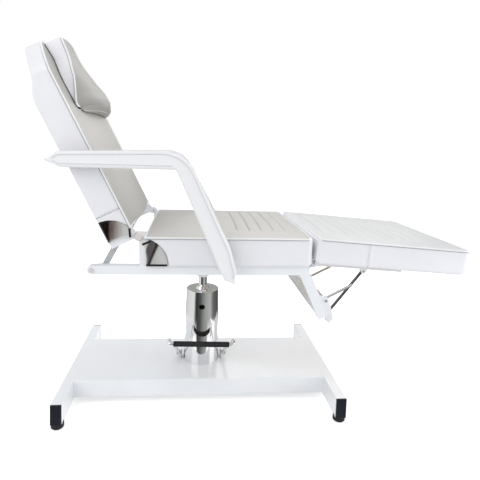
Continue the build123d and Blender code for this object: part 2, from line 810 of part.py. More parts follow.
seat_top = seat_seam_z + seat_crown
seat_seam_half = seat_half_width - seat_seam_tuck
seat_bottom_half = seat_half_width - seat_bottom_tuck
seat_length = seat_front_x - seat_rear_x
with BuildPart() as seat_cushion:
    with BuildSketch(Plane.XY.offset(rail_top)) as seat_plan:
        with Locations((column_x + (seat_front_x + seat_rear_x) / 2, 0)):
            Rectangle(seat_length, 2 * seat_half_width)
        fillet(seat_plan.vertices().group_by(Axis.X)[-1], seat_corner_radius)
    extrude(amount=seat_top - rail_top)
    with BuildSketch(Plane.YZ.offset(column_x + seat_rear_x)):
        with BuildLine():
            Line((seat_bottom_half, rail_top), (-seat_bottom_half, rail_top))
            ThreePointArc(
                (-seat_bottom_half, rail_top),
                (-seat_half_width, (rail_top + seat_seam_z) / 2),
                (-seat_seam_half, seat_seam_z),
            )
            ThreePointArc((-seat_seam_half, seat_seam_z), (0, seat_top), (seat_seam_half, seat_seam_z))
            ThreePointArc(
                (seat_seam_half, seat_seam_z),
                (seat_half_width, (rail_top + seat_seam_z) / 2),
                (seat_bottom_half, rail_top),
            )
        make_face()
    extrude(amount=seat_length, mode=Mode.INTERSECT)
    with BuildSketch(hinge_side.offset(-seat_half_width)):
        with Locations((0, -arch_depth)):
            Circle(arch_radius)
    extrude(amount=2 * seat_half_width, mode=Mode.SUBTRACT)
    seat_panel_z = seat_seam_z + seat_crown * (1 - (channel_panel_half_width / seat_seam_half) ** 2)
    for channel in range(seat_channel_count):
        channel_x = column_x + seat_channel_first_x + channel * seat_channel_pitch
        with BuildSketch(Plane.YZ.offset(channel_x - channel_width / 2)):
            with BuildLine():
                ThreePointArc(
                    (-channel_panel_half_width, seat_panel_z - channel_depth),
                    (0, seat_top - channel_depth),
                    (channel_panel_half_width, seat_panel_z - channel_depth),
                )
                Polyline(
                    (channel_panel_half_width, seat_panel_z - channel_depth),
                    (channel_panel_half_width, seat_top + channel_depth),
                    (-channel_panel_half_width, seat_top + channel_depth),
                    (-channel_panel_half_width, seat_panel_z - channel_depth),
                )
            make_face()
        extrude(amount=channel_width, mode=Mode.SUBTRACT)
    add(seat_board.part, mode=Mode.SUBTRACT)
seat_cushion.part.label = "seat_cushion"
export_step(seat_cushion.part, "parts/seat_cushion.step")

# Leg rest: frame, hinge plates, board and cushion

with BuildPart() as leg_rest_tubes:
    with BuildSketch(leg_section.offset(frame_start)):
        with Locations(
            (-frame_tube_y, leg_bottom - frame_tube_height / 2),
            (frame_tube_y, leg_bottom - frame_tube_height / 2),
        ):
            Rectangle(frame_tube_width, frame_tube_height)
            Rectangle(
                frame_tube_width - 2 * frame_tube_wall,
                frame_tube_height - 2 * frame_tube_wall,
                mode=Mode.SUBTRACT,
            )
    extrude(amount=frame_end - frame_start)
leg_rest_tubes.part.label = "leg_rest_tubes"
export_step(leg_rest_tubes.part, "parts/leg_rest_tubes.step")

with BuildPart() as leg_rest_crossbar:
    with BuildSketch(leg_side.offset(-tube_inner_y)):
        with Locations((frame_end - frame_tube_width / 2, leg_bottom - frame_tube_height / 2)):
            Rectangle(frame_tube_width, frame_tube_height)
            Rectangle(
                frame_tube_width - 2 * frame_tube_wall,
                frame_tube_height - 2 * frame_tube_wall,
                mode=Mode.SUBTRACT,
            )
    extrude(amount=2 * tube_inner_y)
leg_rest_crossbar.part.label = "leg_rest_crossbar"
export_step(leg_rest_crossbar.part, "parts/leg_rest_crossbar.step")

with BuildPart() as leg_rest_hinges:
    with BuildSketch(leg_side.offset(leg_plate_inner_y)):
        with BuildLine():
            Polyline(
                (0, -leg_knuckle_radius),
                (leg_plate_end, leg_bottom - frame_tube_height),
                (leg_plate_end, leg_bottom),
                (leg_knuckle_radius, leg_bottom),
                (0, leg_knuckle_radius),
                close=True,
            )
        make_face()
        Circle(leg_knuckle_radius)
        Circle(leg_pin_radius + running_clearance, mode=Mode.SUBTRACT)
    extrude(amount=leg_plate_thickness)
    mirror(about=Plane.XZ)
leg_rest_hinges.part.label = "leg_rest_hinges"
export_step(leg_rest_hinges.part, "parts/leg_rest_hinges.step")

with BuildPart() as leg_rest_board:
    with BuildSketch(leg_plan.offset(leg_bottom)):
        with Locations(((leg_board_start + leg_board_end) / 2, 0)):
            RectangleRounded(
                leg_board_end - leg_board_start, 2 * leg_board_half_width, leg_heel_radius
            )
    extrude(amount=leg_board_thickness)
leg_rest_board.part.label = "leg_rest_board"
export_step(leg_rest_board.part, "parts/leg_rest_board.step")

leg_top_height = leg_seam + leg_crown
leg_cushion_length = leg_end - leg_start
with BuildPart() as leg_rest_cushion:
    with BuildSketch(leg_plan.offset(leg_bottom)) as leg_plan_sketch:
        with Locations(((leg_start + leg_end) / 2, 0)):
            Rectangle(leg_cushion_length, 2 * seat_half_width)
        fillet(leg_plan_sketch.vertices().group_by(Axis.X)[-1], leg_corner_radius)
        fillet(leg_plan_sketch.vertices().group_by(Axis.X)[0], leg_heel_radius)
    extrude(amount=leg_top_height - leg_bottom)
    with BuildSketch(leg_section.offset(leg_start)):
        with BuildLine():
            Line((seat_bottom_half, leg_bottom), (-seat_bottom_half, leg_bottom))
            ThreePointArc(
                (-seat_bottom_half, leg_bottom),
                (-seat_half_width, (leg_bottom + leg_seam) / 2),
                (-seat_seam_half, leg_seam),
            )
            ThreePointArc((-seat_seam_half, leg_seam), (0, leg_top_height), (seat_seam_half, leg_seam))
            ThreePointArc(
                (seat_seam_half, leg_seam),
                (seat_half_width, (leg_bottom + leg_seam) / 2),
                (seat_bottom_half, leg_bottom),
            )
        make_face()
    extrude(amount=leg_cushion_length, mode=Mode.INTERSECT)
    leg_panel_height = leg_seam + leg_crown * (1 - (leg_panel_half_width / seat_seam_half) ** 2)
    for channel in range(leg_channel_count):
        channel_at = leg_channel_first + channel * leg_channel_pitch
        with BuildSketch(leg_section.offset(channel_at - channel_width / 2)):
            with BuildLine():
                ThreePointArc(
                    (-leg_panel_half_width, leg_panel_height - channel_depth),
                    (0, leg_top_height - channel_depth),
                    (leg_panel_half_width, leg_panel_height - channel_depth),
                )
                Polyline(
                    (leg_panel_half_width, leg_panel_height - channel_depth),
                    (leg_panel_half_width, leg_top_height + channel_depth),
                    (-leg_panel_half_width, leg_top_height + channel_depth),
                    (-leg_panel_half_width, leg_panel_height - channel_depth),
                )
            make_face()
        extrude(amount=channel_width, mode=Mode.SUBTRACT)
    add(leg_rest_board.part, mode=Mode.SUBTRACT)
leg_rest_cushion.part.label = "leg_rest_cushion"
export_step(leg_rest_cushion.part, "parts/leg_rest_cushion.step")

with BuildPart() as strut_lugs:
    strut_top = leg_side.to_local_coords(Vector(column_x + strut_upper[0], 0, strut_upper[1]))
    strut_pivot = (strut_top.X, strut_top.Y)
    with BuildSketch(leg_side.offset(tube_inner_y - strut_lug_thickness)):
        with Locations((strut_top.X, leg_bottom - frame_tube_height / 2)):
            Rectangle(2 * strut_lug_half, frame_tube_height)
        with Locations(strut_pivot):
            Circle(strut_hub_radius)
        make_hull()
        with Locations(strut_pivot):
            Circle(strut_pin_radius, mode=Mode.SUBTRACT)
    extrude(amount=strut_lug_thickness)
    mirror(about=Plane.XZ)
strut_lugs.part.label = "strut_lugs"
export_step(strut_lugs.part, "parts/strut_lugs.step")

strut_hub_inner_y = strut_y - strut_hub_thickness / 2
with BuildPart() as strut_pins:
    with BuildSketch(side.offset(strut_hub_inner_y - strut_hub_gap)):
        with Locations(strut_upper):
            Circle(strut_pin_radius)
    extrude(amount=tube_inner_y - strut_hub_inner_y + strut_hub_gap)
    with BuildSketch(side.offset(strut_hub_inner_y - strut_hub_gap - leg_pin_head)):
        with Locations(strut_upper):
            Circle(leg_pin_head_radius)
    extrude(amount=leg_pin_head)
    mirror(about=Plane.XZ)
strut_pins.part.label = "strut_pins"
export_step(strut_pins.part, "parts/strut_pins.step")

# Leg struts

strut_start = Vector(column_x + strut_upper[0], -strut_y, strut_upper[1])
strut_run = ring_centre - strut_start
with BuildPart() as leg_struts:
    with BuildSketch(Plane(origin=strut_start, x_dir=(0, 1, 0), z_dir=strut_run.normalized())):
        Circle(strut_radius)
    extrude(amount=strut_run.length + strut_past_ring)
    chamfer(leg_struts.edges().sort_by(Axis.Z)[0], strut_bevel)
    with BuildSketch(side.offset(strut_hub_inner_y)):
        with Locations(strut_upper):
            Circle(strut_hub_radius)
    extrude(amount=strut_hub_thickness)
    with BuildSketch(side.offset(strut_y - strut_radius)):
        with Locations(strut_upper):
            Circle(strut_pin_radius + running_clearance)
    extrude(amount=2 * strut_radius, mode=Mode.SUBTRACT)
    mirror(about=Plane.XZ)
leg_struts.part.label = "leg_struts"
export_step(leg_struts.part, "parts/leg_struts.step")

# Release rod

release_dx = release_tip[0] - release_shaft[0]
release_dz = release_tip[1] - release_shaft[1]
release_arm_length = sqrt(release_dx**2 + release_dz**2)
release_direction = Vector(release_dx, 0, release_dz).normalized()
with BuildPart() as release_rod:
    with BuildSketch(side.offset(-release_shaft_half)):
        with Locations(release_shaft):
            Circle(release_radius)
    extrude(amount=2 * release_shaft_half)
    for arm_y in release_arm_ys:
        arm_origin = Vector(column_x + release_shaft[0], arm_y, release_shaft[1])
        with BuildSketch(Plane(origin=arm_origin, x_dir=(0, 1, 0), z_dir=release_direction)):
            Circle(release_radius)
        extrude(amount=release_arm_length)
    tip_edges = release_rod.edges().filter_by(GeomType.CIRCLE).group_by(Axis.X)[-1]
    chamfer(tip_edges, release_tip_bevel)
release_rod.part.label = "release_rod"
export_step(release_rod.part, "parts/release_rod.step")

# Backrest hinge plates with their inner tongues, and the horn covers on them

back_layer_y = hinge_plate_inner_y - hinge_layer_gap
back_plate_end = on_arch(plate_radius, arch_depth - back_plate_bottom)
with BuildPart() as back_hinge_plates:
    with BuildSketch(back_side.offset(back_layer_y)):
        with BuildLine():
            Line((0, 0), (hinge_plate_edge, -back_plate_bottom))
            Line((hinge_plate_edge, -back_plate_bottom), (back_plate_end, -back_plate_bottom))
            RadiusArc((back_plate_end, -back_plate_bottom), (plate_top_x, plate_top_z), -plate_radius)
            Line((plate_top_x, plate_top_z), (0, 0))
        make_face()
        Circle(knuckle_radius + knuckle_clearance, mode=Mode.SUBTRACT)
    extrude(amount=hinge_plate_thickness + hinge_layer_gap)
    with BuildSketch(back_side.offset(back_layer_y - tongue_thickness)):
        Circle(tongue_radius)
        with Locations(tongue_at):
            Circle(tongue_radius)
        make_hull()
        Circle(hinge_pin_radius + running_clearance, mode=Mode.SUBTRACT)
    extrude(amount=tongue_thickness)
    mirror(about=Plane.XZ)
back_hinge_plates.part.label = "back_hinge_plates"
export_step(back_hinge_plates.part, "parts/back_hinge_plates.step")

with BuildPart() as back_horn_covers:
    with BuildSketch(back_side.offset(horn_y)):
        with BuildLine():
            Line(horn_inner_points[2], (horn_end_x, -horn_bottom))
            RadiusArc((horn_end_x, -horn_bottom), (horn_top_x, horn_top_z), -horn_radius)
            Line((horn_top_x, horn_top_z), horn_inner_points[0])
            ThreePointArc(*horn_inner_points)
        make_face()
    extrude(amount=horn_thickness)
    chamfer(back_horn_covers.faces().sort_by(Axis.Y)[-1].edges(), horn_edge)
    mirror(about=Plane.XZ)
back_horn_covers.part.label = "back_horn_covers"
export_step(back_horn_covers.part, "parts/back_horn_covers.step")

# Backrest tube, ribs, board and cushion

with BuildPart() as back_tube:
    with BuildSketch(back_side.offset(-back_layer_y)):
        with Locations(back_tube_at):
            Circle(back_tube_radius)
    extrude(amount=2 * back_layer_y)
back_tube.part.label = "back_tube"
export_step(back_tube.part, "parts/back_tube.step")

tube_t, tube_n = back_tube_at
rib_bottom = back_rear - rib_depth
with BuildPart() as back_ribs:
    with BuildSketch(back_side.offset(rib_y - rib_thickness / 2)):
        with BuildLine():
            Polyline(
                (tube_t - rib_wrap, tube_n),
                (tube_t + rib_wrap, tube_n),
                (rib_start, back_rear),
                (rib_end, back_rear),
                (rib_end, back_rear - rib_lip),
                (rib_end - rib_slope, rib_bottom),
                (rib_start - rib_lip, rib_bottom),
                (tube_t - rib_wrap, tube_n - rib_shoulder),
                close=True,
            )
        make_face()
        with Locations(back_tube_at):
            Circle(back_tube_radius, mode=Mode.SUBTRACT)
    extrude(amount=rib_thickness)
    mirror(about=Plane.XZ)
back_ribs.part.label = "back_ribs"
export_step(back_ribs.part, "parts/back_ribs.step")

with BuildPart() as back_board:
    with BuildSketch(back_plan.offset(back_rear)):
        with Locations(((back_board_start + back_board_end) / 2, 0)):
            Rectangle(back_board_end - back_board_start, 2 * back_board_half_width)
    extrude(amount=back_board_thickness)
back_board.part.label = "back_board"
export_step(back_board.part, "parts/back_board.step")

back_front = back_seam + back_crown
back_seam_half = back_half_width - seat_seam_tuck
back_rear_half = back_half_width - seat_bottom_tuck
back_middle = (back_rear + back_seam) / 2
back_length = back_top - back_start
with BuildPart() as backrest_cushion:
    with BuildSketch(back_plan.offset(back_rear)) as back_outline:
        with BuildLine():
            shoulder_radii = (back_shoulder_round, back_shoulder_round, back_top_round)
            FilletPolyline(
                (back_start, -back_half_width),
                (back_shoulder_start, -back_half_width),
                (back_shoulder_at, -back_shoulder_half),
                (back_top, -back_top_half),
                (back_top, back_top_half),
                (back_shoulder_at, back_shoulder_half),
                (back_shoulder_start, back_half_width),
                (back_start, back_half_width),
                radius=(0, *shoulder_radii, *reversed(shoulder_radii), 0),
                close=True,
            )
        make_face()
    extrude(amount=back_front - back_rear)
    with BuildSketch(back_section.offset(back_start)):
        with BuildLine():
            Line((back_rear_half, back_rear), (-back_rear_half, back_rear))
            ThreePointArc(
                (-back_rear_half, back_rear),
                (-back_half_width, back_middle),
                (-back_seam_half, back_seam),
            )
            ThreePointArc((-back_seam_half, back_seam), (0, back_front), (back_seam_half, back_seam))
            ThreePointArc(
                (back_seam_half, back_seam),
                (back_half_width, back_middle),
                (back_rear_half, back_rear),
            )
        make_face()
    extrude(amount=back_length, mode=Mode.INTERSECT)
    with BuildSketch(back_side.offset(-back_half_width)):
        with BuildLine():
            FilletPolyline(
                (back_start, back_front),
                (back_top, back_front),
                (back_top, back_thin_rear),
                (back_thin_end, back_thin_rear),
                (back_thin_start, back_rear),
                (back_start, back_rear),
                radius=(0, back_round, back_round, back_thin_round, back_thin_round, 0),
                close=True,
            )
        make_face()
    extrude(amount=2 * back_half_width, mode=Mode.INTERSECT)
    with BuildSketch(back_side.offset(-back_half_width)):
        with Locations((0, -arch_depth)):
            Circle(arch_radius)
    extrude(amount=2 * back_half_width, mode=Mode.SUBTRACT)
    add(back_board.part, mode=Mode.SUBTRACT)
backrest_cushion.part.label = "backrest_cushion"
export_step(backrest_cushion.part, "parts/backrest_cushion.step")

# Headrest pillow, its back hollowed to the crown of the backrest

pillow_length = pillow_end - pillow_start
pillow_front = [
    (pillow_start + u * pillow_length, v * pillow_crown) for u, v in pillow_front_shares
]
pillow_points = [(pillow_start, back_seam), *pillow_front, (pillow_end, back_seam)]
pillow_radii = [0, pillow_heel_radius, pillow_brow_radius, 0, 0, 0, 0]
pillow_sag = pillow_crown - pillow_side
pillow_arc = (pillow_half_width**2 + pillow_sag**2) / (2 * pillow_sag)
trim_half = pillow_half_width + pillow_trim
trim_side = pillow_crown - pillow_arc + on_arch(pillow_arc, trim_half)
with BuildPart() as headrest_pillow:
    with BuildSketch(back_plan.offset(back_rear)):
        with Locations(((pillow_start + pillow_end) / 2, 0)):
            RectangleRounded(pillow_length, 2 * pillow_half_width, pillow_corner_radius)
    extrude(amount=2 * arch_radius)
    with BuildSketch(back_side.offset(-trim_half)):
        with BuildLine():
            FilletPolyline(*pillow_points, radius=pillow_radii, close=True)
        make_face()
    extrude(amount=2 * trim_half, mode=Mode.INTERSECT)
    with BuildSketch(back_section.offset(pillow_start - pillow_trim)):
        with BuildLine():
            Polyline(
                (-trim_half, trim_side),
                (-trim_half, back_rear),
                (trim_half, back_rear),
                (trim_half, trim_side),
            )
            ThreePointArc((trim_half, trim_side), (0, pillow_crown), (-trim_half, trim_side))
        make_face()
    extrude(amount=pillow_length + 2 * pillow_trim, mode=Mode.INTERSECT)
    with BuildSketch(back_section.offset(pillow_start)):
        with BuildLine():
            ThreePointArc(
                (-back_seam_half, back_seam + soft_clearance),
                (0, back_front + soft_clearance),
                (back_seam_half, back_seam + soft_clearance),
            )
            Polyline(
                (back_seam_half, back_seam + soft_clearance),
                (back_seam_half, back_rear),
                (-back_seam_half, back_rear),
                (-back_seam_half, back_seam + soft_clearance),
            )
        make_face()
    extrude(amount=pillow_length, mode=Mode.SUBTRACT)
headrest_pillow.part.label = "headrest_pillow"
export_step(headrest_pillow.part, "parts/headrest_pillow.step")

# Back stays on stub pins

with BuildPart() as stay_pins:
    with BuildSketch(back_side.offset(stay_inner_y - stay_pin_gap)):
        with Locations(stay_pivot):
            Circle(stay_pin_radius)
    extrude(amount=back_layer_y - stay_inner_y + stay_pin_gap)
    with BuildSketch(back_side.offset(stay_inner_y - stay_pin_gap - stay_pin_head)):
        with Locations(stay_pivot):
            Circle(stay_pin_head_radius)
    extrude(amount=stay_pin_head)
    mirror(about=Plane.XZ)
stay_pins.part.label = "stay_pins"
export_step(stay_pins.part, "parts/stay_pins.step")

stay_top = back_side.from_local_coords(Vector(*stay_pivot))
stay_top_at = (stay_top.X - column_x, stay_top.Z)
stay_outer_y = stay_inner_y + stay_thickness
with BuildPart() as back_stays:
    with BuildSketch(side.offset(stay_inner_y)):
        with Locations(stay_top_at, stay_foot):
            Circle(stay_width / 2)
        make_hull()
        with Locations(stay_top_at):
            Circle(stay_pin_radius + running_clearance, mode=Mode.SUBTRACT)
    extrude(amount=stay_thickness)
    with BuildSketch(side.offset(stay_outer_y)):
        with Locations(stay_foot):
            Circle(stay_roller_radius)
    extrude(amount=rail_inner_y - stay_outer_y - stay_roller_gap)
    mirror(about=Plane.XZ)
back_stays.part.label = "back_stays"
export_step(back_stays.part, "parts/back_stays.step")

# Armrests on blocks outside the rails, the far one tilted back a little

arm_radii = (
    arm_nose_radius, arm_rest_radius, arm_elbow_radius, arm_shin_radius, arm_heel_radius,
    arm_toe_radius, arm_toe_inner_radius, arm_elbow_inner_radius, arm_rest_radius,
)
bolt_x, bolt_z = arm_bolt_at
pad_points = [
    (arm_rear_x + u * arm_length - bolt_x, arm_foot_z + v * arm_height - bolt_z)
    for u, v in arm_pad_shares
]
plate_points = [
    (arm_rear_x + u * arm_length - bolt_x, arm_foot_z + v * arm_height - bolt_z)
    for u, v in arm_plate_shares
]
arm_start_y = {"near": -arm_inner_y, "far": arm_inner_y + arm_width}
plate_start_y = {"near": -arm_inner_y + arm_plate_thickness, "far": arm_inner_y}
arm_block_z = rail_top - rail_size + arm_block_height / 2
block_start_y = {"near": -rail_outer_y, "far": arm_inner_y - arm_plate_thickness}
for arm_side, tilt in (("near", 0), ("far", far_arm_tilt)):
    arm_x_dir = (cos(radians(tilt)), 0, sin(radians(tilt)))
    arm_origin = (column_x + bolt_x, 0, bolt_z)
    arm_plane = Plane(origin=arm_origin, x_dir=arm_x_dir, z_dir=(0, -1, 0))
    with BuildPart() as armrest_pad:
        with BuildSketch(arm_plane.offset(-arm_start_y[arm_side])):
            with BuildLine():
                FilletPolyline(*pad_points, radius=arm_radii, close=True)
            make_face()
        extrude(amount=arm_width)
        fillet(armrest_pad.faces().sort_by(Axis.Y)[0].edges(), arm_round)
        fillet(armrest_pad.faces().sort_by(Axis.Y)[-1].edges(), arm_round)
    armrest_pad.part.label = "armrest_pad_" + arm_side
    export_step(armrest_pad.part, "parts/armrest_pad_" + arm_side + ".step")

    with BuildPart() as armrest_plate:
        with BuildSketch(arm_plane.offset(-plate_start_y[arm_side])):
            with BuildLine():
                Polyline(*plate_points, close=True)
            make_face()
        extrude(amount=arm_plate_thickness)
    armrest_plate.part.label = "armrest_plate_" + arm_side
    export_step(armrest_plate.part, "parts/armrest_plate_" + arm_side + ".step")

    with BuildPart() as armrest_block:
        with BuildSketch(side.offset(-block_start_y[arm_side])):
            with Locations(((arm_block_start_x + arm_block_end_x) / 2, arm_block_z)):
                Rectangle(arm_block_end_x - arm_block_start_x, arm_block_height)
        extrude(amount=arm_inner_y - arm_plate_thickness - rail_outer_y)
    armrest_block.part.label = "armrest_block_" + arm_side
    export_step(armrest_block.part, "parts/armrest_block_" + arm_side + ".step")
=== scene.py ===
"""White hydraulic tattoo chair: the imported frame, upholstered, painted, plated and set in a pale studio.

Metres, +Z up, +X towards the foot end. Cushions are worked out as grids of two parameters.
"""

import json
from math import cos, pi, radians, sin

import bpy
import numpy as np
from mathutils import Matrix, Vector


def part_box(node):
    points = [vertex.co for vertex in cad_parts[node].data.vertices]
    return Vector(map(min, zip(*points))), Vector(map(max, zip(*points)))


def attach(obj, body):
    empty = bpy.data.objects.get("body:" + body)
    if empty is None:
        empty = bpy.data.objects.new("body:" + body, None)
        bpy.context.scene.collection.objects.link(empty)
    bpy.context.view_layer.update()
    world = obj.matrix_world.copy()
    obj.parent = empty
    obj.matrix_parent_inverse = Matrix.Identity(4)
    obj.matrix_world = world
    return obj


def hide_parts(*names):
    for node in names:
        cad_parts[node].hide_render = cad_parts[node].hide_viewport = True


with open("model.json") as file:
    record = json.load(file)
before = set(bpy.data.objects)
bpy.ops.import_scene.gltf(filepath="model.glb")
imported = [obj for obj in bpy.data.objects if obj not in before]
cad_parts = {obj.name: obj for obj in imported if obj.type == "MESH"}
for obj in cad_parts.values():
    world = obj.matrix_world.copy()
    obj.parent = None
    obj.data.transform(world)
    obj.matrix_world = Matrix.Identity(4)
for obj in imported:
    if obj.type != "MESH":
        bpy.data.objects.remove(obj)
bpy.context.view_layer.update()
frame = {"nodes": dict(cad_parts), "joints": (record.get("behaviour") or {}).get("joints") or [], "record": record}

bl_info = {
    "name": "Tattoo chair upholstery and finishes",
    "version": (1, 0, 0),
    "blender": (4, 5, 0),
    "location": "3D View > Sidebar > Chair",
    "description": "Upholsters, paints and plates the chair, and sets the studio round it",
    "category": "Object",
}

JOINT_AT = {joint["name"]: Vector(joint["pos_m"]) for joint in frame["joints"] if "pos_m" in joint}
SLOT_OF = {part["node"]: part["material_slot"] for part in frame["record"]["subparts"]}

# The lines that the cushions follow, from the joints of the frame
COLUMN_X = JOINT_AT["pedal_press"].x
BACK_HINGE = JOINT_AT["back_recline"]
LEG_HINGE = JOINT_AT["leg_drop"]
RECLINE = radians(62.8)
LEG_SLOPE = radians(4.1)
ARCH_RADIUS = 0.099
ARCH_DEPTH = 0.098
ARCH_ROOM = 0.0006
HINGE_REACH = 0.018
CUSHION_HALF = 0.300
CHANNEL_PITCH = 0.043
BOARD_GAP = 0.0005  # how far a cover's base stands above the underside of its board
SHARP_FROM = radians(42)  # an edge that turns by more than this is shown sharp
TINY = 1e-6


def length(name, default, low, high, description):
    """A size that a user may change."""
    return bpy.props.FloatProperty(
        name=name, description=description, default=default, min=low, max=high, unit="LENGTH"
    )


def colour(name, default, description):
    """A colour that a user may change."""
    return bpy.props.FloatVectorProperty(
        name=name, description=description, default=default, min=0, max=1, subtype="COLOR"
    )


class ChairSizes(bpy.types.PropertyGroup):
    """Sizes of the upholstery that a user may change."""

    welt_radius: length("Welt radius", 0.0029, 0.001, 0.006, "Radius of the piping along the seams")
    side_draw: length("Side draw", 0.0035, 0.0, 0.01, "How far a side pulls in between its seams")
    channel_width: length("Channel width", 0.0055, 0.002, 0.012, "Width of a channel sewn in a cushion")
    channel_depth: length("Channel depth", 0.0026, 0.0, 0.008, "Depth of a channel sewn in a cushion")
    swell: length("Swell", 0.006, 0.0, 0.012, "Most that a cover may move when air pressure fills it")
    grain_size: length("Grain size", 0.0016, 0.0005, 0.004, "Size of one pebble of the leather grain")
    # The edging is dark strips of painted shade on the hinge covers' ends
    edging_width: length("Edging width", 0.007, 0.002, 0.012, "Width of the hinge covers' black edging")


class ChairColours(bpy.types.PropertyGroup):
    """Colours of the chair's finishes that a user may change."""

    # The tops are the same white leatherette as the sides: their darker colours below are painted shade
    top_leather: colour("Top leather", (0.55, 0.532, 0.500), "Leatherette on the seat, back and arm tops")
    shaded_foot_leather: colour("Leg rest leather", (0.68, 0.68, 0.68), "Leatherette on top of the leg rest")
    side_leather: colour("Side leather", (0.89, 0.89, 0.925), "Leatherette on the boxed sides")
    # The piping's paler colour is a painted highlight
    welt_leather: colour("Welt leather", (0.93, 0.93, 0.94), "Leatherette on the piping along the seams")
    arm_leather: colour("Arm leather", (0.92, 0.925, 0.94), "Leatherette on the sides of the arm pads")
    paint: colour("Paint", (0.90, 0.92, 0.95), "Gloss white paint on the frame")
    grey_paint: colour("Grey paint", (0.50, 0.51, 0.52), "Grey paint on lugs and stays")
    chrome: colour("Chrome", (0.86, 0.86, 0.87), "Plating of the column and the rods")
    rubber: colour("Rubber", (0.022, 0.022, 0.024), "Pedal sleeve, glides and black edging")
    cap: colour("End caps", (0.006, 0.009, 0.016), "Blue-black plastic of the rail end caps")


# Shapes


def ease(low, high, value):
    """0 below low, 1 above high, and a smooth cubic step between them."""
    share = np.clip((value - low) / (high - low), 0, 1)
    return share * share * (3 - 2 * share)


def crowded(count):
    """Shares from 0 to 1 that crowd towards 0."""
    return 1 - np.cos(np.linspace(0, pi / 2, count))


def bell(distance, width):
    """1 at no distance, falling off as a bell of this width."""
    return np.exp(-((distance / width) ** 2))


def rounding(distance, radius):
    """How far a face draws back at this distance from an edge that is rounded to a quarter circle."""
    left = np.clip(radius - distance, 0, radius)
    return radius - np.sqrt(np.maximum(radius**2 - left**2, 0))


def sloped(origin_x, origin_z, rise, forward=1):
    """Places on a pad from an origin: s along it, rising by an angle, y, and h square to it, upwards.

    s runs towards the foot end, or with forward at -1 towards the head end.
    """
    def place(s, y, h):
        x = origin_x + forward * (s * cos(rise) - h * sin(rise))
        return np.stack([x, y, origin_z + s * sin(rise) + h * cos(rise)], axis=-1)
    return place


seat_point = sloped(COLUMN_X, 0, 0)
leg_point = sloped(LEG_HINGE.x, LEG_HINGE.z, -LEG_SLOPE)
back_point = sloped(BACK_HINGE.x, BACK_HINGE.z, RECLINE, forward=-1)


def unit(directions):
    """Directions made one long."""
    return directions / np.linalg.norm(directions, axis=-1, keepdims=True)


def read_at(places, marks, values):
    """Rows of values read at places between their marks."""
    return np.stack([np.interp(places, marks, values[:, axis]) for axis in range(values.shape[1])], axis=-1)


def distances(line):
    """Distance along a line to each of its points."""
    return np.concatenate([[0], np.cumsum(np.linalg.norm(np.diff(line, axis=0), axis=1))])


def grid_quads(index, closed=False):
    """Faces of a grid of indices whose rows are loops, and whose last row meets the first if closed."""
    after = np.roll(index, -1, axis=0) if closed else index[1:]
    index = index if closed else index[:-1]
    return np.stack([index, after, np.roll(after, -1, 1), np.roll(index, -1, 1)], axis=-1).reshape(-1, 4)


def pad_points(form, w, v):
    """Points of a boxed pad on a grid of two parameters.

    w from 0 to 1 runs along the pad. From 0 to -1 and from 1 to 2 the same loop folds to the middle
    line of an end face. v from 0 to 4 runs round the loop: near side up, top across, far side down
    and base back. A top point is the seam height plus the crown times one less a power of its share
    of the half width. A side point draws in by a parabola between its two seams. The end faces
    stand where the form's start and end lines are at that height over the base, under the top's edge.
    """
    rows, columns = np.meshgrid(w, v, indexing="ij")
    along = np.clip(rows, 0, 1)
    fold = np.maximum(-rows, rows - 1).clip(0, 1)
    across = np.interp(columns, range(5), (-1, -1, 1, 1, -1))
    up = np.interp(columns, range(5), (0, 1, 1, 0, 0))
    on_top = (columns >= 1) & (columns <= 2)
    on_side = ~on_top & (up > 0)
    plan = form["begin"] + (form["finish"] - form["begin"]) * along
    half = form["half"](plan)
    low = form["low"](plan, across)
    seam = form["seam"](plan, across)
    crown = form["crown"](plan) * (1 - np.abs(across) ** form["power"])
    edge = seam + crown
    height = low + (seam - low) * up + np.where(on_top, crown, 0)
    drawn = np.where(on_side, form["draw"] * 4 * up * (1 - up), 0)
    tucked = rounding(height - low, form["tuck"])
    y = across * (half - drawn - tucked)
    height = height + ((low + edge) / 2 - height) * fold
    start, end = form["start"](height, low, edge), form["end"](height, low, edge)
    share = ((height - low) / np.maximum(edge - low, TINY)).clip(0, 1)
    bulge = form["bulge"] * 4 * share * (1 - share) * (1 - across**4)
    s = start + (end - start) * along + bulge * (along - 0.5) * 2 * (fold > 0)
    return s, y, height


# The share of a channel's width and of the pitch that their bells take, and where a channel fades
CHANNEL_BELL, PUFF_BELL = 0.42, 0.36
PANEL_FADE = (-0.012, 0.002)


def pad_detail(form, s, y, w, v):
    """Height that the top gains or loses: channels sink as bells of the form's width, puffs between."""
    columns = np.broadcast_to(v, s.shape)
    rows = np.broadcast_to(w[:, None], s.shape)
    top = (columns >= 1) & (columns <= 2) & (rows >= 0) & (rows <= 1)
    gain = np.zeros_like(s)
    inner, outer = form["panel"] + np.array(PANEL_FADE)
    panel = 1 - ease(inner, outer, np.abs(y))
    for place in form["channels"]:
        gain -= form["depth"] * bell(s - place, CHANNEL_BELL * form["width"]) * panel
        gain += form["puff"] * bell(s - place - CHANNEL_PITCH / 2, PUFF_BELL * CHANNEL_PITCH) * panel
    return np.where(top, gain, 0)


# Beside a side seam: where its dents and swellings stand, how wide they are and how deep
SIDE_SEAM = ((0, 0.0022, 0.0030), (-0.009, 0.0016, 0.0016), (0.006, 0.0035, -0.0016))


def pad_seam(form, s, v):
    """How far the near and far sides move along y at the seams across the boxing."""
    columns = np.broadcast_to(v, s.shape)
    near, far = columns < 1, (columns > 2) & (columns < 3)
    sink = np.zeros_like(s)
    for place in form["cross_seams"]:
        for offset, width, depth in SIDE_SEAM:
            sink += depth * bell(s - place - offset, width)
    return np.where(near, sink, 0) - np.where(far, sink, 0)


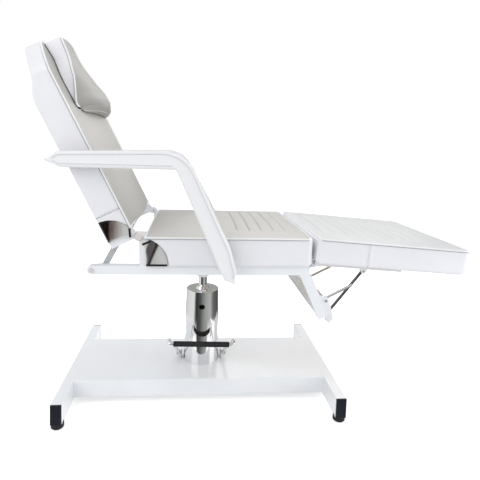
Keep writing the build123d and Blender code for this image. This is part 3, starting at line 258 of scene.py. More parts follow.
def closed_quads(form, rows, columns):
    """Faces of the pad's grid as indices, its two end rows sewn shut along their middle lines."""
    index = np.arange(rows * columns).reshape(rows, columns)
    side, top = form["side_count"], form["top_count"]
    far_corner, near_corner = side + top, side
    for row in (0, rows - 1):
        index[row, :side] = index[row, near_corner]
        index[row, far_corner : far_corner + side] = index[row, far_corner]
        base = np.arange(1, top)
        index[row, far_corner + side] = index[row, far_corner]
        index[row, far_corner + side + base] = index[row, near_corner + top - base]
    return grid_quads(index)


def sewn_mesh(name, points, quads, slots):
    """A mesh of quads, where a quad with two equal corners becomes a triangle, all facing outwards."""
    used = np.unique(quads)
    points = points[used]
    quads = np.searchsorted(used, quads)
    twice = quads == np.roll(quads, -1, axis=1)
    plain = ~twice.any(axis=1)
    faces = quads[plain].tolist()
    kept = [slots[plain]]
    for corner in range(4):
        picked = twice[:, corner] & (twice.sum(axis=1) == 1)
        faces += np.delete(quads[picked], corner, axis=1).tolist()
        kept.append(slots[picked])
    fan = np.array([face[:3] for face in faces])
    a, b, c = points[fan[:, 0]], points[fan[:, 1]], points[fan[:, 2]]
    if np.einsum("ij,ij->i", a, np.cross(b, c)).sum() < 0:
        faces = [face[::-1] for face in faces]
    mesh = bpy.data.meshes.new(name)
    mesh.from_pydata(points.tolist(), [], faces)
    mesh.polygons.foreach_set("material_index", np.concatenate(kept).astype(np.int32))
    mesh.polygons.foreach_set("use_smooth", np.ones(len(faces), bool))
    mesh.set_sharp_from_angle(angle=SHARP_FROM)
    mesh.update()
    return mesh


def new_piece(name, mesh, materials, body):
    """An object for a mesh that already stands in its place, riding on a body of the frame."""
    piece = bpy.data.objects.new(name, mesh)
    bpy.context.scene.collection.objects.link(piece)
    for material in materials:
        mesh.materials.append(material)
    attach(piece, body)
    return piece


# The cover's cloth: frames, air pressure, and stiffness against stretching and bending
SWELL_FRAMES = 20
AIR_PRESSURE = 4
STRETCH_STIFFNESS = 30
BEND_STIFFNESS = 2


def air_swell(points, quads, sewn, most):
    """How far each point moves when air pressure fills the closed cover, capped at most.

    sewn marks the points that are held. The cloth is simulated on an object of its own.
    """
    used = np.unique(quads)
    mesh = sewn_mesh("cover_trial", points, quads, np.zeros(len(quads), int))
    trial = bpy.data.objects.new("cover_trial", mesh)
    bpy.context.scene.collection.objects.link(trial)
    group = trial.vertex_groups.new(name="sewn")
    for weight in (0, 1):
        group.add(np.flatnonzero(sewn[used] == weight).tolist(), weight, "REPLACE")
    cloth = trial.modifiers.new("Cover", "CLOTH")
    cloth.settings.use_pressure = True
    cloth.settings.uniform_pressure_force = AIR_PRESSURE
    cloth.settings.effector_weights.gravity = 0
    cloth.settings.vertex_group_mass = "sewn"
    cloth.settings.pin_stiffness = 1.0
    cloth.settings.tension_stiffness = STRETCH_STIFFNESS
    cloth.settings.compression_stiffness = STRETCH_STIFFNESS
    cloth.settings.bending_stiffness = BEND_STIFFNESS
    cloth.point_cache.frame_start = 1
    cloth.point_cache.frame_end = SWELL_FRAMES
    for step in range(1, SWELL_FRAMES + 1):
        bpy.context.scene.frame_set(step)
    solved = trial.evaluated_get(bpy.context.evaluated_depsgraph_get()).to_mesh()
    places = np.empty(len(solved.vertices) * 3)
    solved.vertices.foreach_get("co", places)
    moved = np.zeros_like(points)
    moved[used] = places.reshape(-1, 3) - points[used]
    trial.evaluated_get(bpy.context.evaluated_depsgraph_get()).to_mesh_clear()
    bpy.data.objects.remove(trial)
    bpy.data.meshes.remove(mesh)
    bpy.context.scene.frame_set(1)
    distance = np.linalg.norm(moved, axis=1, keepdims=True)
    return moved * np.minimum(1, most / np.maximum(distance, TINY))


# A pad's rows: their even step, and how many crowd at an end or over a channel. Then, as shares of a
# channel's width, how far those reach from its middle and how near two rows may come. Then how many
# rows fold an end face
GRID_STEP = 0.004
FINE_ROWS, FINE_REACH, NEAREST = 9, 1.2, 0.15
FOLD_ROWS = 6


def stations(form):
    """Shares along the pad: even steps, closer at its ends and across its seams and channels."""
    span = form["finish"] - form["begin"]
    channel = form["width"] / span
    even = np.linspace(0, 1, int(span / GRID_STEP) + 1)
    near_end = form["corner"] / span * crowded(FINE_ROWS)
    fine = [even, near_end, 1 - near_end]
    for place in form["channels"] + form["cross_seams"]:
        centre = (place - form["begin"]) / span
        fine.append(centre + np.linspace(-FINE_REACH, FINE_REACH, FINE_ROWS) * channel)
    shares = np.unique(np.round(np.concatenate(fine).clip(0, 1), 5))
    return shares[np.insert(np.diff(shares) > NEAREST * channel, 0, True) | (shares == 1)]


SEAM_CROWDING = 0.6  # how strongly a top's cells crowd at its seams, from 0 to 1


def loop_shares(form, side_count, top_count):
    """Shares round a pad's loop, closer together at the seams, the same on the top and the base."""
    form["side_count"], form["top_count"] = side_count, top_count
    rise = (1 - np.cos(np.linspace(0, pi, side_count + 1)[:-1])) / 2
    even = np.linspace(0, 1, top_count + 1)[:-1]
    spread = even - np.sin(2 * pi * even) / (2 * pi) * SEAM_CROWDING
    return np.concatenate([rise, 1 + spread, 2 + rise, 3 + spread])


def build_pad(name, form, top, side_count=14, top_count=64):
    """A boxed pad's piece and the lines along its top seam and its lower edge.

    Its grid, kept in the form, has its channels and takes its cover's swell from a coarser grid.
    """
    v = loop_shares(form, side_count, top_count)
    folds = np.linspace(0, 1, FOLD_ROWS + 1)[1:]
    w = np.concatenate([-folds[::-1], stations(form), 1 + folds])
    s, y, h = pad_points(form, w, v)
    points = form["place"](s, y + pad_seam(form, s, v), h + pad_detail(form, s, y, w, v))
    points = points + cover_shift(form, w, v)
    cells = np.arange(len(v))
    top_cell = (cells >= side_count) & (cells < side_count + top_count)
    on_body = (w[:-1] >= 0) & (w[1:] <= 1)
    wrapped = (w[:-1] < 0) & form["wraps"]
    # Top cells take the top material, a darker copy of the white leatherette that paints shade on the tops; the
    # rest take the side leatherette
    slots = np.where(on_body[:, None] & top_cell[None, :] | wrapped[:, None], 0, 1).reshape(-1)
    mesh = sewn_mesh(name, points.reshape(-1, 3), closed_quads(form, len(w), len(v)), slots)
    piece = new_piece(name, mesh, [top, side_cover()], form["body"])
    form["grid"] = points
    rows = (w >= 0) & (w <= 1)
    for number, seam_at in enumerate(form["cross_seams"]):
        for side, first in (("near", 0), ("far", side_count + top_count)):
            line = np.array([
                read_at(seam_at, s[rows, column], points[rows, column])
                for column in range(first, first + side_count + 1)
            ])
            # A grey cord along each cross seam: its stitching, darkened as painted shade in the seam's fold
            seam_name = f"{name}_seam_{side}_{number}"
            build_welt(seam_name, line, form["thread"], thread_and_shadow_line(), form["body"], closed=False)
    return piece, seam_line(points, w, form), base_line(points, w, form)


# The coarse grid that the cover's cloth has: cells up a side, across the top and along the pad
COARSE_SIDE, COARSE_TOP, COARSE_ROWS = 6, 22, 26
AT_SEAM = 0.02  # how near to a seam's share of the loop a point counts as sewn


def cover_shift(form, w, v):
    """The cover's swell on a coarse grid, read at the shares of the fine one."""
    swell = bpy.context.scene.chair_sizes.swell
    if swell <= 0:
        return 0
    coarse = dict(form)
    rough_v = loop_shares(coarse, COARSE_SIDE, COARSE_TOP)
    rough_w = np.concatenate([[-1, -0.5], np.linspace(0, 1, COARSE_ROWS), [1.5, 2]])
    s, y, h = pad_points(coarse, rough_w, rough_v)
    points = form["place"](s, y, h).reshape(-1, 3)
    quads = closed_quads(coarse, len(rough_w), len(rough_v))
    rows = np.repeat(rough_w, len(rough_v))
    columns = np.tile(rough_v, len(rough_w))
    sewn = (columns > 3) | (np.abs(columns - 1) < AT_SEAM) | (np.abs(columns - 2) < AT_SEAM)
    sewn |= (columns == 0) | (columns == 3)
    sewn |= ((rows == 0) | (rows == 1)) & (columns >= 1) & (columns <= 2)
    moved = air_swell(points, quads, sewn, swell).reshape(len(rough_w), len(rough_v), 3)
    looped = np.concatenate([moved, moved[:, :1]], axis=1)
    by_row = np.stack([read_at(v, np.append(rough_v, 4.0), row) for row in looped])
    return np.stack([read_at(w, rough_w, by_row[:, column]) for column in range(len(v))], axis=1)


def seam_line(points, w, form):
    """The closed line along a pad's top seam, read from its grid."""
    first, last = np.flatnonzero(w == 0)[0], np.flatnonzero(w == 1)[0]
    near, far = form["side_count"], form["side_count"] + form["top_count"]
    return np.concatenate([
        points[first:last, near], points[last, near:far],
        points[last:first:-1, far], points[first, far:near:-1],
    ])


def base_line(points, w, form):
    """The closed line along a pad's lower edge, read from its grid."""
    first, last = np.flatnonzero(w == 0)[0], np.flatnonzero(w == 1)[0]
    near, far = 0, 2 * form["side_count"] + form["top_count"]
    last_base = points.shape[1] - 1
    return np.concatenate([
        points[first:last, near], points[last, last_base:far:-1],
        points[last:first:-1, far], points[first, far:last_base],
    ])


def tube_along(line, radius, closed, spacing=GRID_STEP, sides=10, lift=0.0):
    """A round tube along a line: rings of the radius square to the line's own direction.

    The line is read again at even steps. A ring stands on two directions square to the line: one in
    the plane that fits the whole line best, and one out of it. lift moves the line within that plane.
    """
    line = np.asarray(line, float)
    if closed:
        line = np.concatenate([line, line[:1]])
    steps = distances(line)
    count = max(int(steps[-1] / spacing), 8)
    line = read_at(np.linspace(0, steps[-1], count, endpoint=not closed), steps, line)
    ahead, behind = np.roll(line, -1, 0), np.roll(line, 1, 0)
    if not closed:
        ahead[-1], behind[0] = line[-1], line[0]
    along = unit(ahead - behind)
    _, _, spread = np.linalg.svd(line - line.mean(0))
    out = unit(np.cross(along, spread[2]))
    up = np.cross(out, along)
    if lift:
        outward = np.sign(((line - line.mean(0)) * out).sum())
        line = line + out * outward * lift
    angle = np.linspace(0, 2 * pi, sides, endpoint=False)[None, :, None]
    ring = line[:, None] + radius * (np.cos(angle) * out[:, None] + np.sin(angle) * up[:, None])
    quads = grid_quads(np.arange(len(line) * sides).reshape(len(line), sides), closed)
    if closed:
        return ring.reshape(-1, 3), quads
    total = len(line) * sides
    caps = []
    for row, centre in ((0, total), (len(line) - 1, total + 1)):
        around = row * sides + np.arange(sides)
        middle = np.full(sides, centre)
        turn = 1 if row == 0 else -1
        caps.append(np.stack([middle, middle, np.roll(around, -turn), around], axis=-1))
    points = np.concatenate([ring.reshape(-1, 3), line[:1], line[-1:]])
    return points, np.concatenate([quads] + caps)


# Shares of the piping's radius: how far the painted shadow line lies under the piping, and that line's own radius
SHADOW_DROP, SHADOW_RADIUS = 1.25, 0.42
SHADOW_LIFT = 0.0008


def pipe_seam(name, line, form, closed=True):
    """White piping along a pad's seam and, under it, a dark line of painted shadow cast by the piping."""
    radius = bpy.context.scene.chair_sizes.welt_radius
    build_welt(name, line, radius, highlighted_welt_cover(), form["body"], closed)
    # The dark line under the piping is painted shadow
    down = form["place"](0, 0, -SHADOW_DROP * radius) - form["place"](0, 0, 0)
    turned = line + down
    build_welt(name + "_turn", turned, SHADOW_RADIUS * radius, thread_and_shadow_line(), form["body"], closed, SHADOW_LIFT)


def build_welt(name, line, radius, material, body, closed=True, lift=0.0):
    """A round cord along a seam line: piping, a stitched thread, or a dark cord of painted shadow."""
    points, quads = tube_along(line, radius, closed, lift=lift)
    mesh = sewn_mesh(name, points, quads, np.zeros(len(quads), int))
    return new_piece(name, mesh, [material], body)


def rounded_line(corners, radii, arc_steps=10):
    """Points of a line whose corners are rounded to arcs, and the distance along it of each corner."""
    corners = [np.array(corner, float) for corner in corners]
    line, marks = [corners[0]], [0]
    for before, corner, after, radius in zip(corners, corners[1:], corners[2:], radii[1:-1]):
        into, away = unit(before - corner), unit(after - corner)
        half = np.arccos(np.clip(into @ away, -1, 1)) / 2
        reach = radius / np.tan(half)
        centre = corner + unit(into + away) * radius / np.sin(half)
        turn = np.linspace(0, 1, arc_steps + 1)[:, None]
        chord = (corner + into * reach) * (1 - turn) + (corner + away * reach) * turn - centre
        marks.append(len(line) + arc_steps // 2)
        line += list(centre + unit(chord) * radius)
    line.append(corners[-1])
    marks.append(len(line) - 1)
    line = np.array(line)
    steps = distances(line)
    return line, steps, steps[marks]


def read_line(line, steps, marks, knots, share):
    """Points at shares along a line, where the shares in knots fall on its marked corners."""
    return read_at(np.interp(share, knots, marks), steps, line)


# Materials


def fill(tree, inputs, values):
    """Put values or links into named inputs."""
    for key, value in values.items():
        if isinstance(value, bpy.types.NodeSocket):
            tree.links.new(value, inputs[key])
        else:
            inputs[key].default_value = value


def node(tree, kind, inputs=None, **settings):
    """A node with its settings and its inputs."""
    made = tree.nodes.new(kind)
    for key, value in settings.items():
        setattr(made, key, value)
    fill(tree, made.inputs, inputs or {})
    return made


def object_place(tree):
    """A point's place in its object's own frame."""
    return node(tree, "ShaderNodeTexCoord").outputs["Object"]


def drawn_out(tree, place, scale, turn=(0, 0, 0)):
    """Places scaled and turned, so that a pattern is drawn out."""
    return node(tree, "ShaderNodeMapping", {"Vector": place, "Scale": scale, "Rotation": turn}).outputs[0]


def maths(tree, operation, *values, **settings):
    """The result of an operation on values or sockets."""
    return node(tree, "ShaderNodeMath", dict(enumerate(values)), operation=operation, **settings).outputs[0]


def vectors(tree, operation, *values):
    """The outputs of an operation on vectors."""
    return node(tree, "ShaderNodeVectorMath", dict(enumerate(values)), operation=operation).outputs


def noise(tree, place, scale, detail, rough=0.5):
    """Fractal noise from 0 to 1."""
    values = {"Vector": place, "Scale": scale, "Detail": detail, "Roughness": rough}
    return node(tree, "ShaderNodeTexNoise", values).outputs["Fac"]


def over(tree, size):
    """The scale of a texture whose features have this size."""
    return maths(tree, "DIVIDE", 1, size)


def ranged(tree, value, low, high, source=(0, 1), clamp=True):
    """A value carried from its source range to the range from low to high."""
    values = {"Value": value, "From Min": source[0], "From Max": source[1], "To Min": low, "To Max": high}
    return node(tree, "ShaderNodeMapRange", values, clamp=clamp).outputs["Result"]


def tinted(tree, mask, first, second, **settings):
    """A colour between two colours or sockets, by a mask."""
    ends = [end if isinstance(end, bpy.types.NodeSocket) else (*end, 1) for end in (first, second)]
    values = {0: mask, 6: ends[0], 7: ends[1]}
    return node(tree, "ShaderNodeMix", values, data_type="RGBA", **settings).outputs[2]


def coloured(tree, share, stops):
    """A ramp's colour at a share, from pairs of a place and a colour."""
    ramp = node(tree, "ShaderNodeValToRGB", {0: share})
    elements = ramp.color_ramp.elements
    for _ in stops[2:]:
        elements.new(0.5)
    for element, (place, tone) in zip(elements, stops):
        element.position, element.color = place, (*tone, 1)
    return ramp.outputs["Color"]


def bumped(tree, height, strength, distance, normal=None):
    """A bump of a height, over another normal where there is one."""
    values = {"Height": height, "Strength": strength, "Distance": distance}
    if normal is not None:
        values["Normal"] = normal
    return node(tree, "ShaderNodeBump", values).outputs["Normal"]


def shade(tone, share):
    """A colour made darker or lighter by a share."""
    return tuple(min(channel * share, 1) for channel in tone)


def paler(tone, amount):
    """A colour with an amount of white added."""
    return tuple(channel + amount for channel in tone)


def grain_masks(tree, place, pebble_size, fold_size, tone_size):
    """Leather grain: pebbles are the distance to a cell's edge, folds and tone are slow noise."""
    values = {"Vector": place, "Scale": over(tree, pebble_size)}
    cells = node(tree, "ShaderNodeTexVoronoi", values, feature="DISTANCE_TO_EDGE").outputs["Distance"]
    return {
        "Pebble": ranged(tree, cells, 0, 1, (0, 0.22)),
        "Folds": noise(tree, place, over(tree, fold_size), 3.0, 0.45),
        "Tone": noise(tree, place, over(tree, tone_size), 4.0, 0.55),
    }


def spray_masks(tree, place, peel_size, dust_size):
    """Sprayed paint: fine orange peel, and slow noise for dust that has settled."""
    return {
        "Peel": noise(tree, place, over(tree, peel_size), 2.0),
        "Dust": noise(tree, place, over(tree, dust_size), 6.0, 0.62),
    }


def handled_masks(tree, place, streak_size, smudge_size):
    """Handled metal: streaks are noise drawn out upwards, smudges are slow noise."""
    upright = drawn_out(tree, place, (1.0, 1.0, 0.06))
    return {
        "Streaks": noise(tree, upright, over(tree, streak_size), 5.0, 0.6),
        "Smudges": noise(tree, place, over(tree, smudge_size), 4.0, 0.6),
    }


def wear_masks(tree, place, edge_radius, break_size):
    """Edge wear: how far a rounded normal leaves the face's own normal, broken up by noise."""
    rounded = node(tree, "ShaderNodeBevel", {"Radius": edge_radius}, samples=4).outputs[0]
    own = node(tree, "ShaderNodeNewGeometry").outputs["Normal"]
    edge = ranged(tree, vectors(tree, "DOT_PRODUCT", rounded, own)["Value"], 0, 1, (0.995, 0.9))
    return {"Edge": maths(tree, "MULTIPLY", edge, noise(tree, place, over(tree, break_size), 4.0))}


# The shared groups: their number inputs, and what works out their masks
GROUPS = {
    "Leather grain": ({"Pebble size": 0.0016, "Fold size": 0.09, "Tone size": 0.22}, grain_masks),
    "Sprayed coat": ({"Peel size": 0.004, "Dust size": 0.12}, spray_masks),
    "Handled metal": ({"Streak size": 0.006, "Smudge size": 0.06}, handled_masks),
    "Edge wear": ({"Edge radius": 0.002, "Break size": 0.01}, wear_masks),
}


def new_group(name):
    """Build one of the shared groups."""
    sizes, make_masks = GROUPS[name]
    group = bpy.data.node_groups.new(name, "ShaderNodeTree")
    for label, value in sizes.items():
        socket = group.interface.new_socket(name=label, in_out="INPUT", socket_type="NodeSocketFloat")
        socket.default_value = value
    start = group.nodes.new("NodeGroupInput")
    masks = make_masks(group, object_place(group), *list(start.outputs)[: len(sizes)])
    for label in masks:
        group.interface.new_socket(name=label, in_out="OUTPUT", socket_type="NodeSocketFloat")
    fill(group, group.nodes.new("NodeGroupOutput").inputs, masks)
    return group


def placed_group(tree, name, **sizes):
    """The outputs of one of the shared groups, placed in a material with its own sizes."""
    placed = tree.nodes.new("ShaderNodeGroup")
    placed.node_tree = bpy.data.node_groups.get(name) or new_group(name)
    fill(tree, placed.inputs, {label.replace("_", " "): value for label, value in sizes.items()})
    return placed.outputs


def worn(tree, tone, rubbed, **sizes):
    """A tone that turns to a rubbed colour at edges."""
    return tinted(tree, placed_group(tree, "Edge wear", **sizes)["Edge"], tone, rubbed)


def new_material(name):
    """A material with one Principled shader, and its tree."""
    material = bpy.data.materials.new(name)
    material.use_nodes = True
    tree = material.node_tree
    return material, tree, tree.nodes["Principled BSDF"]


def leather(name, tone, rough=0.42, folds=0.5):
    """Coated leatherette: pebble grain, soft folds, a slow drift of tone and a thin sheen."""
    material, tree, shader = new_material(name)
    grain = placed_group(tree, "Leather grain", Pebble_size=bpy.context.scene.chair_sizes.grain_size)
    drift = maths(tree, "MULTIPLY", ranged(tree, grain["Pebble"], 0.35, 1.0), grain["Tone"])
    soft = bumped(tree, grain["Folds"], folds, 0.004)
    fill(tree, shader.inputs, {
        "Base Color": tinted(tree, drift, shade(tone, 0.93), shade(tone, 1.02)),
        "Roughness": ranged(tree, grain["Tone"], rough - 0.07, rough + 0.07),
        "Normal": bumped(tree, grain["Pebble"], 0.35, 0.0002, soft),
        "Specular IOR Level": 0.45,
        "Sheen Weight": 0.05,
    })
    return material


def paint(name, tone, rough=0.22, coat=0.35):
    """Gloss powder paint with orange peel, settled dust and thin wear at its edges."""
    material, tree, shader = new_material(name)
    spray = placed_group(tree, "Sprayed coat")
    dusty = tinted(tree, spray["Dust"], shade(tone, 1.03), shade(tone, 0.95))
    fill(tree, shader.inputs, {
        "Base Color": worn(tree, dusty, shade(tone, 0.82)),
        "Roughness": ranged(tree, spray["Dust"], rough - 0.06, rough + 0.1),
        "Normal": bumped(tree, spray["Peel"], 0.12, 0.0004),
        "Coat Weight": coat,
        "Coat Roughness": 0.08,
    })
    return material


def metal(name, tone, rough, streaks=0.04, smudges=0.06, bump=0.05):
    """Plated or brushed metal with fine streaks and smudges from handling."""
    material, tree, shader = new_material(name)
    handled = placed_group(tree, "Handled metal")
    smudged = tinted(tree, handled["Smudges"], shade(tone, 0.94), shade(tone, 1.04))
    fine = ranged(tree, handled["Streaks"], rough, rough + streaks)
    fill(tree, shader.inputs, {
        "Base Color": worn(tree, smudged, shade(tone, 1.12), Edge_radius=0.0012),
        "Roughness": maths(tree, "ADD", fine, ranged(tree, handled["Smudges"], 0.0, smudges)),
        "Normal": bumped(tree, handled["Streaks"], bump, 0.0002),
        "Metallic": 1.0,
    })
    return material


def moulded(name, tone, rough, bump=0.3):
    """Moulded rubber or plastic: fine texture, dust in its hollows and rubbed edges."""
    material, tree, shader = new_material(name)
    spray = placed_group(tree, "Sprayed coat", Peel_size=0.0016, Dust_size=0.03)
    dusty = tinted(tree, spray["Dust"], shade(tone, 0.8), paler(tone, 0.012))
    fill(tree, shader.inputs, {
        "Base Color": worn(tree, dusty, paler(tone, 0.05)),
        "Roughness": ranged(tree, spray["Dust"], rough - 0.08, rough + 0.12),
        "Normal": bumped(tree, spray["Peel"], bump, 0.0003),
        "Specular IOR Level": 0.14,
    })
    return material


def bowed_plate(name, low, high, lean, reflection_stops):
    """Thin plated sheet that bows out, its colour banded dark and light along the span as a painted reflection.

    The painted reflection's colours stand at shares of the span from low to high, shifted by the lean times
    the height and by a noise drawn out along the sheet.
    """
    material, tree, shader = new_material(name)
    smudges = placed_group(tree, "Handled metal")["Smudges"]
    place = object_place(tree)
    axes = node(tree, "ShaderNodeSeparateXYZ", {0: place}).outputs
    crease = noise(tree, drawn_out(tree, place, (34.0, 10.0, 11.0), (0, 0.6, 0)), 1.0, 3.0)
    across = ranged(tree, axes["X"], 0, 1, (low.x, high.x), clamp=False)
    leaning = maths(tree, "ADD", across, ranged(tree, axes["Z"], lean / 2, -lean / 2, (low.z, high.z)))
    # Bands of dark and light colour along the span: a painted reflection
    reflected = coloured(tree, maths(tree, "ADD", leaning, ranged(tree, crease, -0.16, 0.16)), reflection_stops)
    rubbed = tinted(tree, smudges, (0.90, 0.90, 0.90), (1.0, 1.0, 1.0))
    bow = maths(tree, "SINE", maths(tree, "MULTIPLY", across, 3.0))
    fill(tree, shader.inputs, {
        "Base Color": tinted(tree, 1.0, reflected, rubbed, blend_type="MULTIPLY"),
        "Roughness": ranged(tree, smudges, 0.05, 0.12),
        "Normal": bumped(tree, crease, 0.6, 0.002, bumped(tree, bow, 1.0, 0.014)),
        "Metallic": 0.5,
    })
    return material


def boards(name, tone):
    """Plywood: wavy bands of grain, drawn out along the board."""
    material, tree, shader = new_material(name)
    place = drawn_out(tree, object_place(tree), (0.6, 12.0, 6.0))
    values = {"Vector": place, "Scale": 4.0, "Distortion": 6.0, "Detail": 4.0, "Detail Scale": 2.0}
    bands = node(tree, "ShaderNodeTexWave", values, bands_direction="Y").outputs["Fac"]
    fill(tree, shader.inputs, {
        "Base Color": tinted(tree, bands, shade(tone, 0.86), tone),
        "Roughness": ranged(tree, bands, 0.55, 0.75),
        "Normal": bumped(tree, bands, 0.08, 0.0003),
    })
    return material


def shared_material(name, make, *values, **options):
    """A material made the first time that it is asked for."""
    return bpy.data.materials.get(name) or make(name, *values, **options)


def side_cover():
    """The pale leatherette of the boxed sides."""
    return shared_material("Side leatherette", leather, bpy.context.scene.chair_colours.side_leather, 0.36)


def thread_and_shadow_line():
    """The grey of the seams' stitches, darkened as painted shade in their folds, and of the painted shadow line
    under the piping.
    """
    return shared_material("Seam thread", leather, (0.40, 0.40, 0.43), 0.6)


def highlighted_welt_cover():
    """The leatherette of the piping, paler than the sides as a painted highlight."""
    return shared_material("Welt leatherette", leather, bpy.context.scene.chair_colours.welt_leather, 0.34)


def dress_node(name, material):
    """Put a material into every slot of a node of the frame."""
    slots = frame["nodes"][name].data.materials
    if not slots:
        slots.append(material)
    for place in range(len(slots)):
        slots[place] = material


# Forms of the cushions


def arch_reach(rise):
    """How far the arch's circle stands from its middle at a height over it, with room for the hinge."""
    return np.sqrt(np.maximum(ARCH_RADIUS**2 - rise**2, HINGE_REACH**2)) + ARCH_ROOM


def arch_start(height, low, edge):
    """The seat's rear face: a circle of the arch's radius about a point under the hinge."""
    return BACK_HINGE.x - COLUMN_X + arch_reach(height - (BACK_HINGE.z - ARCH_DEPTH))


def arch_back_start(height, low, edge):
    """The backrest's lower face: the same circle, in the backrest's own frame."""
    return arch_reach(height + ARCH_DEPTH)


def rounded_end(at, low_radius, high_radius, outward=1):
    """An end face at a distance, with its lower and upper edges rounded."""
    def end(height, low, edge):
        return at - outward * (rounding(height - low, low_radius) + rounding(edge - height, high_radius))
    return end


def faded_crown(crown, start, end, power=7):
    """A crown that fades out at both ends."""
    def rise(plan):
        share = 2 * (plan - start) / (end - start) - 1
        return crown * (1 - np.abs(share.clip(-1, 1)) ** power)
    return rise


def level(height):
    """A height that is the same all over a pad."""
    return lambda plan, across: height + 0 * plan


def pad_form(**changes):
    """The values of a boxed pad, with the sizes that a user may change."""
    sizes = bpy.context.scene.chair_sizes
    form = {
        "power": 2.4, "draw": sizes.side_draw, "tuck": 0.009, "bulge": 0.003, "corner": 0.02,
        "channels": [], "cross_seams": [], "panel": 0.2, "puff": 0.0016, "wraps": False,
        "thread": 0.0015, "depth": sizes.channel_depth, "width": sizes.channel_width,
    }
    form.update(changes)
    return form


class ChairOperator:
    """What the chair's operators share."""

    bl_options = {"REGISTER"}


class CHAIR_OT_stage(ChairOperator, bpy.types.Operator):
    """Lay the pale floor, hang the lamps, light the world and set the camera"""

    bl_idname = "chair.stage"
    bl_label = "Studio"

    def execute(self, context):
        scene = context.scene
        lay_floor()
        light_world(scene)
        hang_lamps(scene)
        set_camera(scene)
        scene.view_settings.view_transform = "Standard"
        return {"FINISHED"}


WHITE = (1, 1, 1, 1)
FLOOR_RADIUS, FLOOR_CORNERS = 30, 96
FLOOR_GLOW = 0.58  # lifts the floor to white where the camera sees it, and leaves the shadow
# Mirrored from here on, the floor shows the studio's walls. In front of the column they start nearer,
# by this factor, within these directions along Y
WALLS_FROM, WALLS_FULL = 0.50, 0.80
FRONT_FACTOR, FRONT_WAYS = 2.4, (-0.80, -0.96)


def lay_floor():
    """A round floor far wider than the view: white to the camera, with the chair's shadow on it.

    Polished metal mirrors it the same near the column, and the ring of the studio's walls beyond.
    """
    turn = np.linspace(0, 2 * pi, FLOOR_CORNERS, endpoint=False)
    rim = np.stack([COLUMN_X + FLOOR_RADIUS * np.cos(turn), FLOOR_RADIUS * np.sin(turn), 0 * turn], axis=-1)
    mesh = bpy.data.meshes.new("studio_floor")
    mesh.from_pydata(rim.tolist(), [], [list(range(FLOOR_CORNERS))])
    floor = bpy.data.objects.new("studio_floor", mesh)
    bpy.context.scene.collection.objects.link(floor)
    material, tree, shader = new_material("Studio floor")
    place = object_place(tree)
    fill(tree, shader.inputs, {
        "Base Color": tinted(tree, noise(tree, place, 1.5, 3.0), (0.80, 0.80, 0.80), (0.82, 0.82, 0.82)),
        "Roughness": 0.9,
        "Specular IOR Level": 0.1,
    })
    rays = node(tree, "ShaderNodeLightPath").outputs
    seen = maths(tree, "ADD", rays["Is Camera Ray"], rays["Is Glossy Ray"])
    clear = maths(tree, "ADD", seen, rays["Is Transmission Ray"], use_clamp=True)
    lift = maths(tree, "MULTIPLY", clear, FLOOR_GLOW)
    glow = node(tree, "ShaderNodeEmission", {"Color": WHITE, "Strength": lift})
    near = node(tree, "ShaderNodeAddShader", {0: shader.outputs[0], 1: glow.outputs[0]})
    outward = vectors(tree, "SUBTRACT", place, (COLUMN_X, 0, 0))[0]
    way = vectors(tree, "NORMALIZE", outward)[0]
    ahead = node(tree, "ShaderNodeSeparateXYZ", {0: way}).outputs["Y"]
    front = ranged(tree, ahead, 1, FRONT_FACTOR, FRONT_WAYS)
    reach = maths(tree, "MULTIPLY", vectors(tree, "LENGTH", outward)["Value"], front)
    beyond = ranged(tree, reach, 0, 1, (WALLS_FROM, WALLS_FULL))
    walls = node(tree, "ShaderNodeEmission", {"Color": studio_ring(tree, outward)})
    shown = maths(tree, "MULTIPLY", beyond, rays["Is Glossy Ray"])
    whole = node(tree, "ShaderNodeMixShader", {0: shown, 1: near.outputs[0], 2: walls.outputs[0]})
    tree.links.new(whole.outputs[0], tree.nodes["Material Output"].inputs["Surface"])
    mesh.materials.append(material)


# The studio's walls by their bearing from -Y towards +X: a white backdrop, a dark stand, a grey wall
# that brightens to a pale panel, and a dark curtain
WALL_TINT = (0.97, 1.0, 0.96)
STUDIO_RING = (
    (-180, 0.40), (-110, 0.80), (-60, 0.85), (-45, 0.03), (-15, 0.09),
    (20, 0.35), (55, 0.50), (80, 0.15), (125, 0.08), (180, 0.40),
)
BEARING_NOISE = 0.12  # radians that a wall's edge wanders, to each side
WALL_TOP, WALL_FADE = 0.62, 0.35  # the upward share of a direction where the walls end, and are full
EVEN_COLOUR, EVEN_LIGHT = (0.97, 0.98, 1.0, 1), 0.74  # what the world casts on everything dull


def studio_ring(tree, way):
    """What polished metal mirrors round it: a tone for each bearing about the upright axis."""
    axes = node(tree, "ShaderNodeSeparateXYZ", {0: way}).outputs
    bearing = maths(tree, "ARCTAN2", axes["X"], maths(tree, "MULTIPLY", axes["Y"], -1.0))
    wander = ranged(tree, noise(tree, way, 2.6, 2.0), -BEARING_NOISE, BEARING_NOISE)
    share = ranged(tree, maths(tree, "ADD", bearing, wander), 0, 1, (-pi, pi))
    stops = [((angle + 180) / 360, shade(WALL_TINT, tone)) for angle, tone in STUDIO_RING]
    return coloured(tree, share, stops)


def mirrored_room(tree):
    """The studio that polished metal shows: its walls' ring up to their tops, and white above."""
    way = node(tree, "ShaderNodeTexCoord").outputs["Generated"]
    up = node(tree, "ShaderNodeSeparateXYZ", {0: way}).outputs["Z"]
    return tinted(tree, ranged(tree, up, 0, 1, (WALL_TOP, WALL_FADE)), (1, 1, 1), studio_ring(tree, way))


